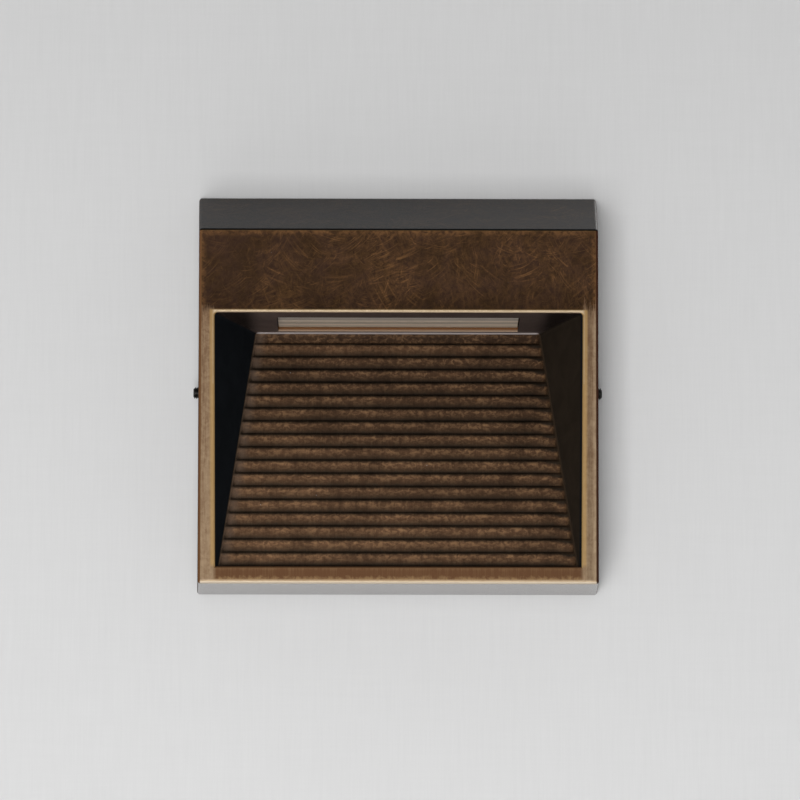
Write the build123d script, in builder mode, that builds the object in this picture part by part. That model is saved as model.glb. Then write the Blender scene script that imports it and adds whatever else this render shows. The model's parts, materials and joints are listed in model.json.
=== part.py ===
from build123d import *
from math import atan, cos, hypot, pi, radians, sqrt, tan
import os

# A square outdoor wall sconce. X runs to the right, Y runs into the wall and Z runs up. The origin is the
# centre of the wall side, so the light stands at negative Y. Lengths are in millimetres. A "reach" is a
# distance in front of the wall.

# Cast housing
width = 133.35
height = 133.35
projection = 44.45
side_draft = 2.0
top_fall = 15.9
shell_wall = 2.5
front_wall = 3.0
outer_round = 1.0

# Front frame and recess
bar_height = 27.4
rail_height = 5.6
stile_top = 5.0
stile_bottom = 5.55
recess_gap = 4.8
recess_splay = 12.75
ceiling_fall = 3.3
ramp_ledge = 2.4
crease_round = 1.2
lip_round = 0.6

# Ribbed ramp
step_count = 18
top_band = 3.85
last_step = 0.8
tread_drop = 0.25
step_round = 0.9
groove_round = 0.3
ramp_base = 1.7
ramp_margin = 2.6
lug_gap = 0.3
lug_radius = 3.6
lug_screw_length = 7.0

# Lens window, lens and its frame, measured along the ceiling
window_start = 8.5
window_back_gap = 1.7
window_side_gap = 7.55
lens_play = 0.2
lens_recess = 1.2
flute_count = 8
flute_rise = 0.45
flange_margin = 3.8
flange_thickness = 2.0
lens_gasket_thickness = 0.8
frame_thickness = 1.2
frame_overhang = 12.7
frame_screw_gap = 8.7
frame_screw_spacing = 12.0

# Light source above the lens
board_overhang = 1.2
board_width = 16.0
board_thickness = 1.6
board_height = 12.0
pad_thickness = 0.5
spreader_thickness = 2.0
spreader_width = 19.0
chip_count = 9
chip_size = 3.0
chip_screw_gap = 6.5
chip_connector_gap = 8.3
chip_thickness = 0.7
board_screw_inset = 3.0
connector_inset = 5.2
connector_width = 5.0
connector_length = 5.0
connector_height = 3.6
lead_diameter = 1.6
lead_spacing = 2.4
lead_bend = 6.0

# Rear cover, its seal and what it carries
cover_reach = 5.2
cover_thickness = 2.0
cover_play = 0.4
cover_gasket_thickness = 1.0
seat_width = 4.5
seat_thickness = 3.0
cover_boss_radius = 3.8
cover_boss_depth = 8.0
cover_screw_inset = 4.4
driver_length = 64.0
driver_thickness = 15.0
driver_gap = 1.6
driver_margin = 6.4
driver_tab = 9.0
driver_tab_thickness = 2.0
grommet_z = -19.0
grommet_bore_radius = 2.5
grommet_neck_radius = 4.5
grommet_flange_radius = 6.4
grommet_flange = 1.5

# Wall bracket and gasket
wall_gasket_thickness = 1.0
wall_gasket_width = 1.9
bracket_thickness = 1.5
bracket_width = 96.0
bracket_height = 104.0
ear_height = 16.0
ear_reach = 13.0
ear_play = 0.9
ear_bend_radius = 1.0
wire_window_width = 56.0
wire_window_height = 22.0
wire_window_z = 24.0
wire_window_round = 4.0
slot_spacing = 86.1
slot_length = 9.4
slot_width = 4.6
ground_screw_x = 22.0

# Screws
set_screw_radius = 1.95
set_screw_reach = 9.0
set_screw_stand = 1.6
set_screw_socket = 2.0
set_screw_socket_depth = 1.8
tip_radius = 1.4
tip_length = 1.0
tip_stem_radius = 0.8
tip_stem_length = 1.2
tip_gap = 0.05
running_play = 0.05
screw_radius = 1.45
screw_play = 0.05
screw_head_radius = 2.7
screw_head_height = 2.0
screw_head_round = 0.8
drive_slot_length = 3.0
drive_slot_width = 0.7
drive_slot_depth = 1.1
pocket_wall = 3.0
pocket_play = 1.5
piece_play = 0.3
cut_past = 1.0
bend_share = 0.45

draft_slope = tan(radians(side_draft))
top_slope = top_fall / projection
side_inset = shell_wall / cos(radians(side_draft))
top_inset = shell_wall / cos(atan(top_slope))

front_low = -height / 2 + projection * draft_slope
front_high = height / 2 - top_fall
opening_low = front_low + rail_height
opening_high = front_high - bar_height
front_half = width / 2 - projection * draft_slope
opening_half_low = front_half - stile_bottom
opening_half_high = front_half - stile_top
stile_lean = (opening_half_high - opening_half_low) / (opening_high - opening_low)

cover_front = cover_reach + cover_thickness
seat_reach = cover_front + cover_gasket_thickness
recess_back_reach = cover_front + recess_gap
recess_depth = projection - recess_back_reach
recess_taper = recess_splay / recess_depth
recess_side_wall = shell_wall * sqrt(1 + recess_taper**2)
ceiling_slope = ceiling_fall / recess_depth
ceiling_back = opening_high - ceiling_fall
recess_back_half = opening_half_high - stile_lean * ceiling_fall - recess_splay

ramp_run = recess_depth - ramp_ledge
ramp_drop = ceiling_back - opening_low
ramp_length = hypot(ramp_run, ramp_drop)
ramp_lean = ramp_run / ramp_length
ramp_fall = ramp_drop / ramp_length
step_pitch = (ramp_length - top_band - last_step) / (step_count - 1)
groove_depth = step_pitch * ramp_lean * ramp_fall
ramp_thickness = groove_depth + ramp_base

ceiling_length = hypot(recess_depth, ceiling_fall)
ceiling_run = recess_depth / ceiling_length
ceiling_drop = ceiling_fall / ceiling_length

ramp_plane = Plane(
    origin=(0, -recess_back_reach, ceiling_back), x_dir=(1, 0, 0), z_dir=(0, ramp_fall, -ramp_lean)
)
ceiling_plane = Plane(
    origin=(0, -projection, opening_high), x_dir=(1, 0, 0), z_dir=(0, ceiling_drop, ceiling_run)
)
ceiling_side = Plane(
    origin=(0, -projection, opening_high), x_dir=(0, ceiling_run, -ceiling_drop), z_dir=(1, 0, 0)
)

window_width = 2 * (recess_back_half - window_side_gap)
window_end = ceiling_length - window_back_gap
window_centre = (window_start + window_end) / 2
window_length = window_end - window_start
flange_low = shell_wall + lens_gasket_thickness
frame_low = flange_low + flange_thickness
frame_high = frame_low + frame_thickness
pad_low = board_height + board_thickness
spreader_low = pad_low + pad_thickness
spreader_high = spreader_low + spreader_thickness
flange_size = (window_width + 2 * flange_margin, window_length + 2 * flange_margin)
frame_length = window_width + 2 * frame_overhang
board_length = window_width + 2 * board_overhang
board_screw_x = board_length / 2 - board_screw_inset
connector_x = board_screw_x - connector_inset
chip_start = chip_screw_gap - board_screw_x
chip_end = connector_x - chip_connector_gap


def pair(x, y):
    """A place on the right and its mirror image on the left."""
    return [(-x, y), (x, y)]


def wall_plane(reach):
    """The plane parallel to the wall at a reach, with X to the right, Z up and its normal to the front."""
    return Plane.XZ.offset(reach)


def rear_plane(reach):
    """The plane parallel to the wall at a reach, with Z up and its normal into the wall."""
    return Plane(origin=(0, -reach, 0), x_dir=(-1, 0, 0), z_dir=(0, 1, 0))


def housing_section(reach, side, top):
    """Half width, bottom and top of the housing at a reach, drawn in at the sides and at the top."""
    half = width / 2 - reach * draft_slope - side
    low = -height / 2 + reach * draft_slope + side
    high = height / 2 - reach * top_slope - top
    return half, low, high


def tapered_block(outline, side_point, side_normal):
    """A block with a side-view outline (Y, Z), cut to its width by a slanting plane and its mirror image."""
    x, y, z = side_point
    normal_x, normal_y, normal_z = side_normal
    with BuildPart() as block:
        with BuildSketch(Plane.YZ):
            with BuildLine():
                Polyline(*outline, close=True)
            make_face()
        extrude(amount=width, both=True)
        split(bisect_by=Plane(origin=(x, y, z), z_dir=(normal_x, normal_y, normal_z)), keep=Keep.BOTTOM)
        split(bisect_by=Plane(origin=(-x, y, z), z_dir=(-normal_x, normal_y, normal_z)), keep=Keep.BOTTOM)
    return block.part


def section_block(near_reach, far_reach, side, top):
    """The part of the housing's outer form between two reaches, drawn in at the sides and at the top."""
    outline = []
    for reach, order in ((near_reach, (1, 2)), (far_reach, (2, 1))):
        section = housing_section(reach, side, top)
        outline += [(-reach, section[index]) for index in order]
    return tapered_block(outline, (width / 2 - side, 0, 0), (1, -draft_slope, 0))


def recess_block(near_reach, far_reach, side_wall=0.0, roof=0.0):
    """The form of the recess between two reaches, with a wall added outside its sides and its ceiling."""
    near_high = opening_high - ceiling_slope * (projection - near_reach) + roof
    far_high = opening_high - ceiling_slope * (projection - far_reach) + roof
    outline = [
        (-near_reach, opening_low),
        (-near_reach, near_high),
        (-far_reach, far_high),
        (-far_reach, opening_low),
    ]
    side_point = (opening_half_low + side_wall, -projection, opening_low)
    return tapered_block(outline, side_point, (1, recess_taper, -stile_lean))


def recess_half(distance):
    """Half the width of the recess where it meets the ramp, at a distance down the ramp."""
    end_half = opening_half_low - recess_taper * ramp_ledge
    return recess_back_half + (end_half - recess_back_half) * distance / ramp_length


def ramp_point(distance):
    """The point of the ramp's front plane at a distance down the slope, in the side view (Y, Z)."""
    return (-recess_back_reach - ramp_lean * distance, ceiling_back - ramp_fall * distance)


def seat_outline(margin, notch_margin):
    """The opening for the rear cover, drawn in by a margin, with notches for the bracket's ears."""
    half, low, high = housing_section(seat_reach, side_inset, top_inset)
    with BuildSketch() as outline:
        with Locations((0, (low + high) / 2)):
            Rectangle(2 * (half - margin), high - low - 2 * margin)
        notch_size = (2 * (half - notch_x + notch_margin), 2 * (notch_half + notch_margin))
        with Locations(*pair(half, 0)):
            Rectangle(*notch_size, mode=Mode.SUBTRACT)
    return outline.sketch


def pan_screws(plane, points, shank_length):
    """Pan-head screws: heads stand on the plane and shanks go in behind it."""
    with BuildPart() as screws:
        with BuildSketch(plane):
            with Locations(*points):
                Circle(screw_head_radius)
        extrude(amount=screw_head_height)
        fillet(screws.faces().group_by(Axis(plane.origin, plane.z_dir))[-1].edges(), screw_head_round)
        with BuildSketch(plane.offset(screw_head_height)):
            with Locations(*points):
                Rectangle(drive_slot_length, drive_slot_width)
                Rectangle(drive_slot_width, drive_slot_length)
        extrude(amount=-drive_slot_depth, mode=Mode.SUBTRACT)
        with BuildSketch(plane):
            with Locations(*points):
                Circle(screw_radius)
        extrude(amount=-shank_length)
    return screws.part


# The bracket's ears and the pockets for them in the housing
ear_outer = housing_section(set_screw_reach, side_inset, top_inset)[0] - ear_play
ear_inner = ear_outer - bracket_thickness
notch_x = ear_inner - pocket_play
notch_half = ear_height / 2 + pocket_play
pocket_reach = ear_reach + pocket_play

# Places of the screws
half_seat, low_seat, high_seat = housing_section(seat_reach, side_inset, top_inset)
cover_screw_places = [
    (x * (half_seat - cover_screw_inset), z)
    for x in (-1, 0, 1)
    for z in (low_seat + cover_screw_inset, high_seat - cover_screw_inset)
]
frame_screw_x = window_width / 2 + frame_screw_gap
frame_screw_places = [
    place
    for side in (-1, 1)
    for place in pair(frame_screw_x, window_centre + side * frame_screw_spacing / 2)
]
lug_z = -(notch_half + pocket_wall + lug_radius + lug_gap)
lug_distance = (ceiling_back - lug_z) / ramp_fall
lug_x = recess_half(lug_distance) + recess_side_wall + lug_radius - piece_play
lug_places = pair(lug_x, lug_distance)
board_screw_places = pair(board_screw_x, window_centre)
driver_high = grommet_z - grommet_flange_radius - driver_gap
driver_low = low_seat + seat_width + driver_margin
driver_z = (driver_high + driver_low) / 2
driver_height = driver_high - driver_low
driver_screw_places = pair((driver_length + driver_tab) / 2, driver_z)

# The blank of the ribbed ramp, before its steps are cut
ramp_end = ramp_length + ramp_margin
with BuildPart() as ramp_blank:
    with BuildSketch(ramp_plane):
        with BuildLine():
            Polyline(
                (-recess_half(-ramp_margin) - ramp_margin, -ramp_margin),
                (recess_half(-ramp_margin) + ramp_margin, -ramp_margin),
                (recess_half(ramp_end) + ramp_margin, ramp_end),
                (-recess_half(ramp_end) - ramp_margin, ramp_end),
                close=True,
            )
        make_face()
        with Locations(*lug_places):
            Circle(lug_radius)
        with Locations(*pair(lug_x - lug_radius / 2, lug_distance)):
            Rectangle(lug_radius, 2 * lug_radius)
    extrude(amount=ramp_thickness)
    split(bisect_by=ceiling_plane, keep=Keep.BOTTOM)
    split(bisect_by=Plane.XY.offset(opening_low), keep=Keep.TOP)

# Front housing: cast shell with the frame, the recess walls, the ceiling and the seats behind
recess_void = recess_block(recess_back_reach - ramp_thickness, projection + cut_past)
with BuildPart() as recess_space:
    add(recess_void)
    split(bisect_by=ramp_plane, keep=Keep.BOTTOM)
    ceiling_face = recess_space.faces().sort_by(Axis.Z)[-1]
    fillet(ceiling_face.edges().filter_by(Axis.X, reverse=True), crease_round)

with BuildPart() as recess_walls:
    add(recess_block(recess_back_reach, projection - front_wall / 2, recess_side_wall, shell_wall))
    split(bisect_by=ramp_plane, keep=Keep.BOTTOM)

with BuildPart() as ceiling_plate:
    with BuildSketch(ceiling_plane):
        with BuildLine():
            front_edge = opening_half_high
            back_distance = window_end + flange_margin + piece_play
            back_edge = recess_back_half + recess_side_wall
            Polyline(
                (-front_edge, front_wall / 2),
                (front_edge, front_wall / 2),
                (back_edge, back_distance),
                (-back_edge, back_distance),
                close=True,
            )
        make_face()
    extrude(amount=shell_wall)

with BuildPart() as front_housing:
    add(section_block(wall_gasket_thickness, projection, 0.0, 0.0))
    back_edges = front_housing.faces().sort_by(Axis.Y)[-1].edges()
    fillet([edge for edge in front_housing.edges() if edge not in back_edges], outer_round)
    add(section_block(0, projection - front_wall, side_inset, top_inset), mode=Mode.SUBTRACT)
    add(recess_walls.part)
    add(ceiling_plate.part)
    for place in lug_places:
        with BuildSketch(ramp_plane):
            with Locations(place):
                Circle(lug_radius)
        extrude(amount=-lug_screw_length - shell_wall)
    with BuildSketch(ceiling_plane):
        with Locations(*frame_screw_places):
            Circle(cover_boss_radius)
    extrude(amount=frame_low)
    with BuildSketch(wall_plane(seat_reach)):
        add(seat_outline(-side_inset / 2, 0))
        add(seat_outline(seat_width, pocket_wall), mode=Mode.SUBTRACT)
    extrude(amount=seat_thickness)
    with BuildSketch(wall_plane(seat_reach)):
        with Locations(*cover_screw_places):
            Circle(cover_boss_radius)
    extrude(amount=cover_boss_depth)
    pocket_x = (notch_x - pocket_wall + half_seat + side_inset / 2) / 2
    pocket_width = half_seat + side_inset / 2 - notch_x + pocket_wall
    with BuildSketch(wall_plane(seat_reach)):
        with Locations(*pair(pocket_x, 0)):
            Rectangle(pocket_width, 2 * (notch_half + pocket_wall))
    extrude(amount=pocket_reach + pocket_wall - seat_reach)
    pocket_half = housing_section(pocket_reach, side_inset, top_inset)[0]
    with BuildSketch(wall_plane(0)):
        with Locations(*pair((notch_x + pocket_half) / 2, 0)):
            Rectangle(pocket_half - notch_x, 2 * notch_half)
    extrude(amount=pocket_reach, mode=Mode.SUBTRACT)
    add(recess_space.part, mode=Mode.SUBTRACT)
    add(ramp_blank.part, mode=Mode.SUBTRACT)
    with BuildSketch(ceiling_plane.offset(-shell_wall)):
        with Locations((0, window_centre)):
            Rectangle(window_width, window_length)
    extrude(amount=frame_low + shell_wall, mode=Mode.SUBTRACT)
    with BuildSketch(wall_plane(seat_reach)):
        with Locations(*cover_screw_places):
            Circle(screw_radius + screw_play)
    extrude(amount=cover_boss_depth - shell_wall / 2, mode=Mode.SUBTRACT)
    with BuildSketch(ceiling_plane.offset(frame_low)):
        with Locations(*frame_screw_places):
            Circle(screw_radius + screw_play)
    extrude(amount=-frame_low + shell_wall / 2, mode=Mode.SUBTRACT)
    with BuildSketch(ramp_plane):
        with Locations(*lug_places):
            Circle(screw_radius + screw_play)
    extrude(amount=-lug_screw_length, mode=Mode.SUBTRACT)
    lip_edges = front_housing.faces().sort_by(Axis.Y)[0].inner_wires()[0].edges()
    fillet(lip_edges, lip_round)
    with BuildSketch(Plane.YZ.offset(-width / 2)):
        with Locations((-set_screw_reach, 0)):
            Circle(set_screw_radius + running_play)
    extrude(amount=width, mode=Mode.SUBTRACT)


# Ribbed reflector: a slanted plate whose steps stay between the recess walls
step_edges = [ramp_point(top_band + number * step_pitch) for number in range(step_count)]
step_line = [(ramp_point(0)[0], ceiling_back + ramp_base)]
for edge_y, edge_z in step_edges:
    step_line += [(step_line[-1][0], edge_z + tread_drop), (edge_y, edge_z)]
step_line.append((step_line[-1][0], opening_low - ramp_base))
with BuildPart() as rib_spaces:
    with BuildSketch(Plane.YZ):
        with BuildLine():
            steps = FilletPolyline(*step_line, radius=[groove_round, step_round] * step_count)
            front_corners = [(-projection, opening_low - ramp_base), (-projection, ceiling_back + ramp_base)]
            Polyline(steps @ 1, *front_corners, steps @ 0)
        make_face()
    extrude(amount=width / 2, both=True)
    add(recess_void, mode=Mode.INTERSECT)

with BuildPart() as ribbed_reflector:
    add(ramp_blank.part)
    add(rib_spaces.part, mode=Mode.SUBTRACT)
    with BuildSketch(ramp_plane):
        with Locations(*lug_places):
            Circle(screw_radius + piece_play)
    extrude(amount=ramp_thickness, mode=Mode.SUBTRACT)

reflector_back = ramp_plane.offset(ramp_thickness)
with BuildPart() as reflector_screws:
    add(pan_screws(reflector_back, lug_places, lug_screw_length + ramp_thickness - piece_play))

# Lens with flutes along its underside, its seal and the frame that clamps it
with BuildPart() as lens:
    flute_pitch = (window_length - 2 * lens_play) / flute_count
    valley = lens_recess + flute_rise
    with BuildSketch(ceiling_side):
        with BuildLine():
            near = window_start + lens_play
            far = window_end - lens_play
            Polyline((near, valley), (near, flange_low), (far, flange_low), (far, valley))
            for number in range(flute_count):
                left = near + number * flute_pitch
                middle = left + flute_pitch / 2
                ThreePointArc((left, valley), (middle, lens_recess), (left + flute_pitch, valley))
        make_face()
    extrude(amount=window_width / 2 - lens_play, both=True)
    with BuildSketch(ceiling_plane.offset(flange_low)):
        with Locations((0, window_centre)):
            RectangleRounded(*flange_size, crease_round)
    extrude(amount=flange_thickness)

with BuildPart() as lens_gasket:
    with BuildSketch(ceiling_plane.offset(shell_wall)):
        with Locations((0, window_centre)):
            RectangleRounded(*flange_size, crease_round)
            Rectangle(window_width + 2 * lens_play, window_length + 2 * lens_play, mode=Mode.SUBTRACT)
    extrude(amount=lens_gasket_thickness)

with BuildPart() as lens_frame:
    with BuildSketch(ceiling_plane.offset(frame_low)):
        with Locations((0, window_centre)):
            RectangleRounded(frame_length, flange_size[1], 2 * crease_round)
            Rectangle(window_width, window_length - 2 * lens_play, mode=Mode.SUBTRACT)
        with Locations(*frame_screw_places):
            Circle(screw_radius + piece_play, mode=Mode.SUBTRACT)
    extrude(amount=frame_thickness)

# Heat spreader: a bent plate over the LED board that stands on the lens frame
leg_inner = board_length / 2 + piece_play
leg_outer = leg_inner + spreader_thickness
foot_high = frame_high + spreader_thickness
with BuildPart() as heat_spreader:
    with BuildSketch(ceiling_plane.offset(spreader_low)):
        with Locations((0, window_centre)):
            Rectangle(2 * leg_outer, spreader_width)
    extrude(amount=spreader_thickness)
    with BuildSketch(ceiling_plane.offset(frame_high)):
        with Locations(*pair((leg_inner + leg_outer) / 2, window_centre)):
            Rectangle(spreader_thickness, spreader_width)
    extrude(amount=spreader_low - frame_high)
    foot_length = frame_length / 2 - leg_inner
    with BuildSketch(ceiling_plane.offset(frame_high)):
        with Locations(*pair(leg_inner + foot_length / 2, window_centre)):
            Rectangle(foot_length, spreader_width)
        with Locations(*frame_screw_places):
            Circle(screw_radius + piece_play, mode=Mode.SUBTRACT)
    extrude(amount=spreader_thickness)
    with BuildSketch(ceiling_plane.offset(spreader_low)):
        with Locations(*board_screw_places):
            Circle(screw_radius + screw_play)
    extrude(amount=spreader_thickness, mode=Mode.SUBTRACT)

with BuildPart() as lens_frame_screws:
    frame_screw_length = foot_high - shell_wall - piece_play
    add(pan_screws(ceiling_plane.offset(foot_high), frame_screw_places, frame_screw_length))

with BuildPart() as led_board:
    with BuildSketch(ceiling_plane.offset(board_height)):
        with Locations((0, window_centre)):
            Rectangle(board_length, board_width)
        with Locations(*board_screw_places):
            Circle(screw_radius + piece_play, mode=Mode.SUBTRACT)
    extrude(amount=board_thickness)

with BuildPart() as thermal_pad:
    with BuildSketch(ceiling_plane.offset(pad_low)):
        with Locations((0, window_centre)):
            Rectangle(board_length - 2 * piece_play, board_width - 2 * piece_play)
        with Locations(*board_screw_places):
            Circle(screw_radius + 2 * piece_play, mode=Mode.SUBTRACT)
    extrude(amount=pad_thickness)

with BuildPart() as led_chips:
    with BuildSketch(ceiling_plane.offset(board_height)):
        chip_pitch = (chip_end - chip_start) / (chip_count - 1)
        with Locations(*[(chip_start + number * chip_pitch, window_centre) for number in range(chip_count)]):
            Rectangle(chip_size, chip_size)
    extrude(amount=-chip_thickness)

board_under = Plane(
    origin=ceiling_plane.offset(board_height).origin, x_dir=(1, 0, 0), z_dir=-ceiling_plane.z_dir
)
with BuildPart() as board_screws:
    under_places = [(x, -y) for x, y in board_screw_places]
    board_screw_length = spreader_high - board_height - piece_play
    add(pan_screws(board_under, under_places, board_screw_length))

with BuildPart() as led_connector:
    with BuildSketch(ceiling_plane.offset(board_height)):
        with Locations((connector_x, window_centre + board_width / 2 - connector_length / 2)):
            Rectangle(connector_width, connector_length)
    extrude(amount=-connector_height)
    fillet(led_connector.edges().filter_by(Axis.X).group_by(Axis.Z)[0], piece_play)

# Rear cover with its seal and screws
with BuildPart() as rear_cover:
    with BuildSketch(wall_plane(cover_reach)):
        add(seat_outline(cover_play, cover_play))
        with Locations(*cover_screw_places):
            Circle(screw_radius + piece_play, mode=Mode.SUBTRACT)
        with Locations((0, grommet_z)):
            Circle(grommet_neck_radius, mode=Mode.SUBTRACT)
        with Locations(*driver_screw_places):
            Circle(screw_radius + screw_play, mode=Mode.SUBTRACT)
    extrude(amount=cover_thickness)

with BuildPart() as rear_cover_gasket:
    with BuildSketch(wall_plane(cover_front)):
        add(seat_outline(cover_play, cover_play))
        add(seat_outline(seat_width, pocket_wall), mode=Mode.SUBTRACT)
        with Locations(*cover_screw_places):
            Circle(cover_boss_radius)
        with Locations(*cover_screw_places):
            Circle(screw_radius + piece_play, mode=Mode.SUBTRACT)
    extrude(amount=cover_gasket_thickness)

with BuildPart() as rear_cover_screws:
    cover_screw_length = cover_thickness + cover_gasket_thickness + cover_boss_depth - shell_wall
    add(pan_screws(rear_plane(cover_reach), cover_screw_places, cover_screw_length))

# Lead grommet through the rear cover
with BuildPart() as lead_grommet:
    with BuildSketch(wall_plane(cover_reach - grommet_flange)):
        with Locations((0, grommet_z)):
            Circle(grommet_flange_radius)
    extrude(amount=grommet_flange)
    with BuildSketch(wall_plane(cover_reach)):
        with Locations((0, grommet_z)):
            Circle(grommet_neck_radius)
    extrude(amount=cover_thickness)
    with BuildSketch(wall_plane(cover_front)):
        with Locations((0, grommet_z)):
            Circle(grommet_flange_radius)
    extrude(amount=grommet_flange)
    rims = lead_grommet.faces().sort_by(Axis.Y)
    fillet(rims[0].edges() + rims[-1].edges(), grommet_flange / 2)
    with BuildSketch(wall_plane(cover_reach - grommet_flange)):
        with Locations((0, grommet_z)):
            Circle(grommet_bore_radius)
    extrude(amount=cover_thickness + 2 * grommet_flange, mode=Mode.SUBTRACT)

# LED driver on the inside of the rear cover
with BuildPart() as led_driver:
    with BuildSketch(wall_plane(cover_front)):
        with Locations((0, driver_z)):
            RectangleRounded(driver_length, driver_height, crease_round)
    extrude(amount=driver_thickness)
    fillet(led_driver.faces().sort_by(Axis.Y)[0].edges(), crease_round / 2)
    with BuildSketch(wall_plane(cover_front)):
        with Locations(*driver_screw_places):
            Rectangle(driver_tab, 2 * driver_tab)
    extrude(amount=driver_tab_thickness)
    with BuildSketch(wall_plane(cover_front)):
        with Locations(*driver_screw_places):
            Circle(screw_radius + piece_play)
    extrude(amount=driver_tab_thickness, mode=Mode.SUBTRACT)

with BuildPart() as driver_screws:
    tab_front = wall_plane(cover_front + driver_tab_thickness)
    add(pan_screws(tab_front, driver_screw_places, driver_tab_thickness + cover_thickness))

# Leads from the driver up the right side to the connector
lead_entry_s = window_centre + board_width / 2
lead_entry_w = board_height - connector_height / 2
lead_x = ear_inner - pocket_play - pocket_wall - lead_diameter
lead_start_z = driver_z + driver_height / 4


def ceiling_point(x, distance, level):
    """A point given by its place along the ceiling and its height above it."""
    return ceiling_plane.from_local_coords((x, distance, level))


def lead(side, reach):
    """One lead, from the driver's end up beside the ramp and forward into the connector."""
    end = ceiling_point(connector_x + side * lead_spacing / 2, lead_entry_s, lead_entry_w)
    turn_z = end.Z + (end.Y + reach) * ceiling_slope
    route = [
        (driver_length / 2, -reach, lead_start_z),
        (lead_x, -reach, lead_start_z),
        (lead_x, -reach, turn_z),
        (end.X, -reach, turn_z),
        (end.X, end.Y, end.Z),
    ]
    last_bend = bend_share * (Vector(*route[4]) - Vector(*route[3])).length
    with BuildPart() as tube:
        with BuildLine() as path:
            FilletPolyline(*route, radius=[lead_bend, lead_bend, last_bend])
        with BuildSketch(Plane(origin=route[0], z_dir=(1, 0, 0))):
            Circle(lead_diameter / 2)
        sweep()
    section = pi * lead_diameter**2 / 4
    print("lead of", round(path.wire().length, 1), "mm, volume", round(tube.part.volume, 1), "mm3;",
          "section times length", round(section * path.wire().length, 1), "mm3")
    return tube.part


with BuildPart() as led_lead_red:
    add(lead(1, cover_front + 2 * lead_diameter + lead_spacing))
with BuildPart() as led_lead_black:
    add(lead(-1, cover_front + 2 * lead_diameter))

# Wall gasket on the housing's rim
with BuildPart() as wall_gasket:
    rim_half, rim_low, rim_high = housing_section(wall_gasket_thickness, 0, 0)
    edge_gap = (shell_wall - wall_gasket_width) / 2
    with BuildSketch(wall_plane(0)):
        with Locations((0, (rim_low + rim_high) / 2)):
            RectangleRounded(2 * (rim_half - edge_gap), rim_high - rim_low - 2 * edge_gap, outer_round)
            inner_gap = edge_gap + wall_gasket_width
            Rectangle(2 * (rim_half - inner_gap), rim_high - rim_low - 2 * inner_gap, mode=Mode.SUBTRACT)
    extrude(amount=wall_gasket_thickness)

# Wall bracket: a flat plate with a cross bar, wire windows, slots and two bent ears
with BuildPart() as wall_bracket:
    with BuildSketch(wall_plane(0)):
        RectangleRounded(bracket_width, bracket_height, wire_window_round)
        Rectangle(2 * ear_outer, ear_height)
        with Locations((0, wire_window_z), (0, -wire_window_z)):
            RectangleRounded(wire_window_width, wire_window_height, wire_window_round, mode=Mode.SUBTRACT)
        with Locations(*pair(slot_spacing / 2, 0)):
            SlotOverall(slot_length, slot_width, mode=Mode.SUBTRACT)
        with Locations((0, slot_spacing / 2), (0, -slot_spacing / 2)):
            SlotOverall(slot_length, slot_width, rotation=90, mode=Mode.SUBTRACT)
        with Locations((ground_screw_x, 0)):
            Circle(screw_radius + screw_play, mode=Mode.SUBTRACT)
    extrude(amount=bracket_thickness)
    with BuildSketch(wall_plane(0)):
        with Locations(*pair((ear_inner + ear_outer) / 2, 0)):
            Rectangle(bracket_thickness, ear_height)
    extrude(amount=ear_reach)
    upright_edges = wall_bracket.edges().filter_by(Axis.Z)
    ear_bends = [edge for edge in upright_edges if abs(edge.center().X) > ear_inner - piece_play]
    inner_bends = [edge for edge in ear_bends if abs(edge.center().Y + bracket_thickness) < screw_play]
    outer_bends = [edge for edge in ear_bends if abs(edge.center().Y) < screw_play]
    fillet(inner_bends, ear_bend_radius)
    fillet(outer_bends, ear_bend_radius + bracket_thickness / 2)

with BuildPart() as ground_screw:
    add(pan_screws(wall_plane(bracket_thickness), [(ground_screw_x, 0)], bracket_thickness))

# Set screws through the housing's sides, each with a soft tip against the bracket's ear
tip_start = ear_outer + tip_gap
screw_start = tip_start + tip_length + tip_gap
screw_end = housing_section(set_screw_reach, 0, 0)[0] + set_screw_stand
with BuildPart() as set_screw_right:
    with BuildSketch(Plane.YZ.offset(screw_start)):
        with Locations((-set_screw_reach, 0)):
            Circle(set_screw_radius)
    extrude(amount=screw_end - screw_start)
    chamfer(set_screw_right.edges(), piece_play)
    with BuildSketch(Plane.YZ.offset(screw_end)):
        with Locations((-set_screw_reach, 0)):
            RegularPolygon(set_screw_socket / 2, 6, major_radius=False)
    extrude(amount=-set_screw_socket_depth, mode=Mode.SUBTRACT)
    with BuildSketch(Plane.YZ.offset(screw_start)):
        with Locations((-set_screw_reach, 0)):
            Circle(tip_stem_radius + running_play)
    extrude(amount=tip_stem_length, mode=Mode.SUBTRACT)

with BuildPart() as screw_tip_right:
    with BuildSketch(Plane.YZ.offset(tip_start)):
        with Locations((-set_screw_reach, 0)):
            Circle(tip_radius)
    extrude(amount=tip_length)
    with BuildSketch(Plane.YZ.offset(tip_start + tip_length)):
        with Locations((-set_screw_reach, 0)):
            Circle(tip_stem_radius)
    extrude(amount=tip_stem_length)

with BuildPart() as set_screw_left:
    mirror(set_screw_right.part, about=Plane.YZ)
with BuildPart() as screw_tip_left:
    mirror(screw_tip_right.part, about=Plane.YZ)

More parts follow.
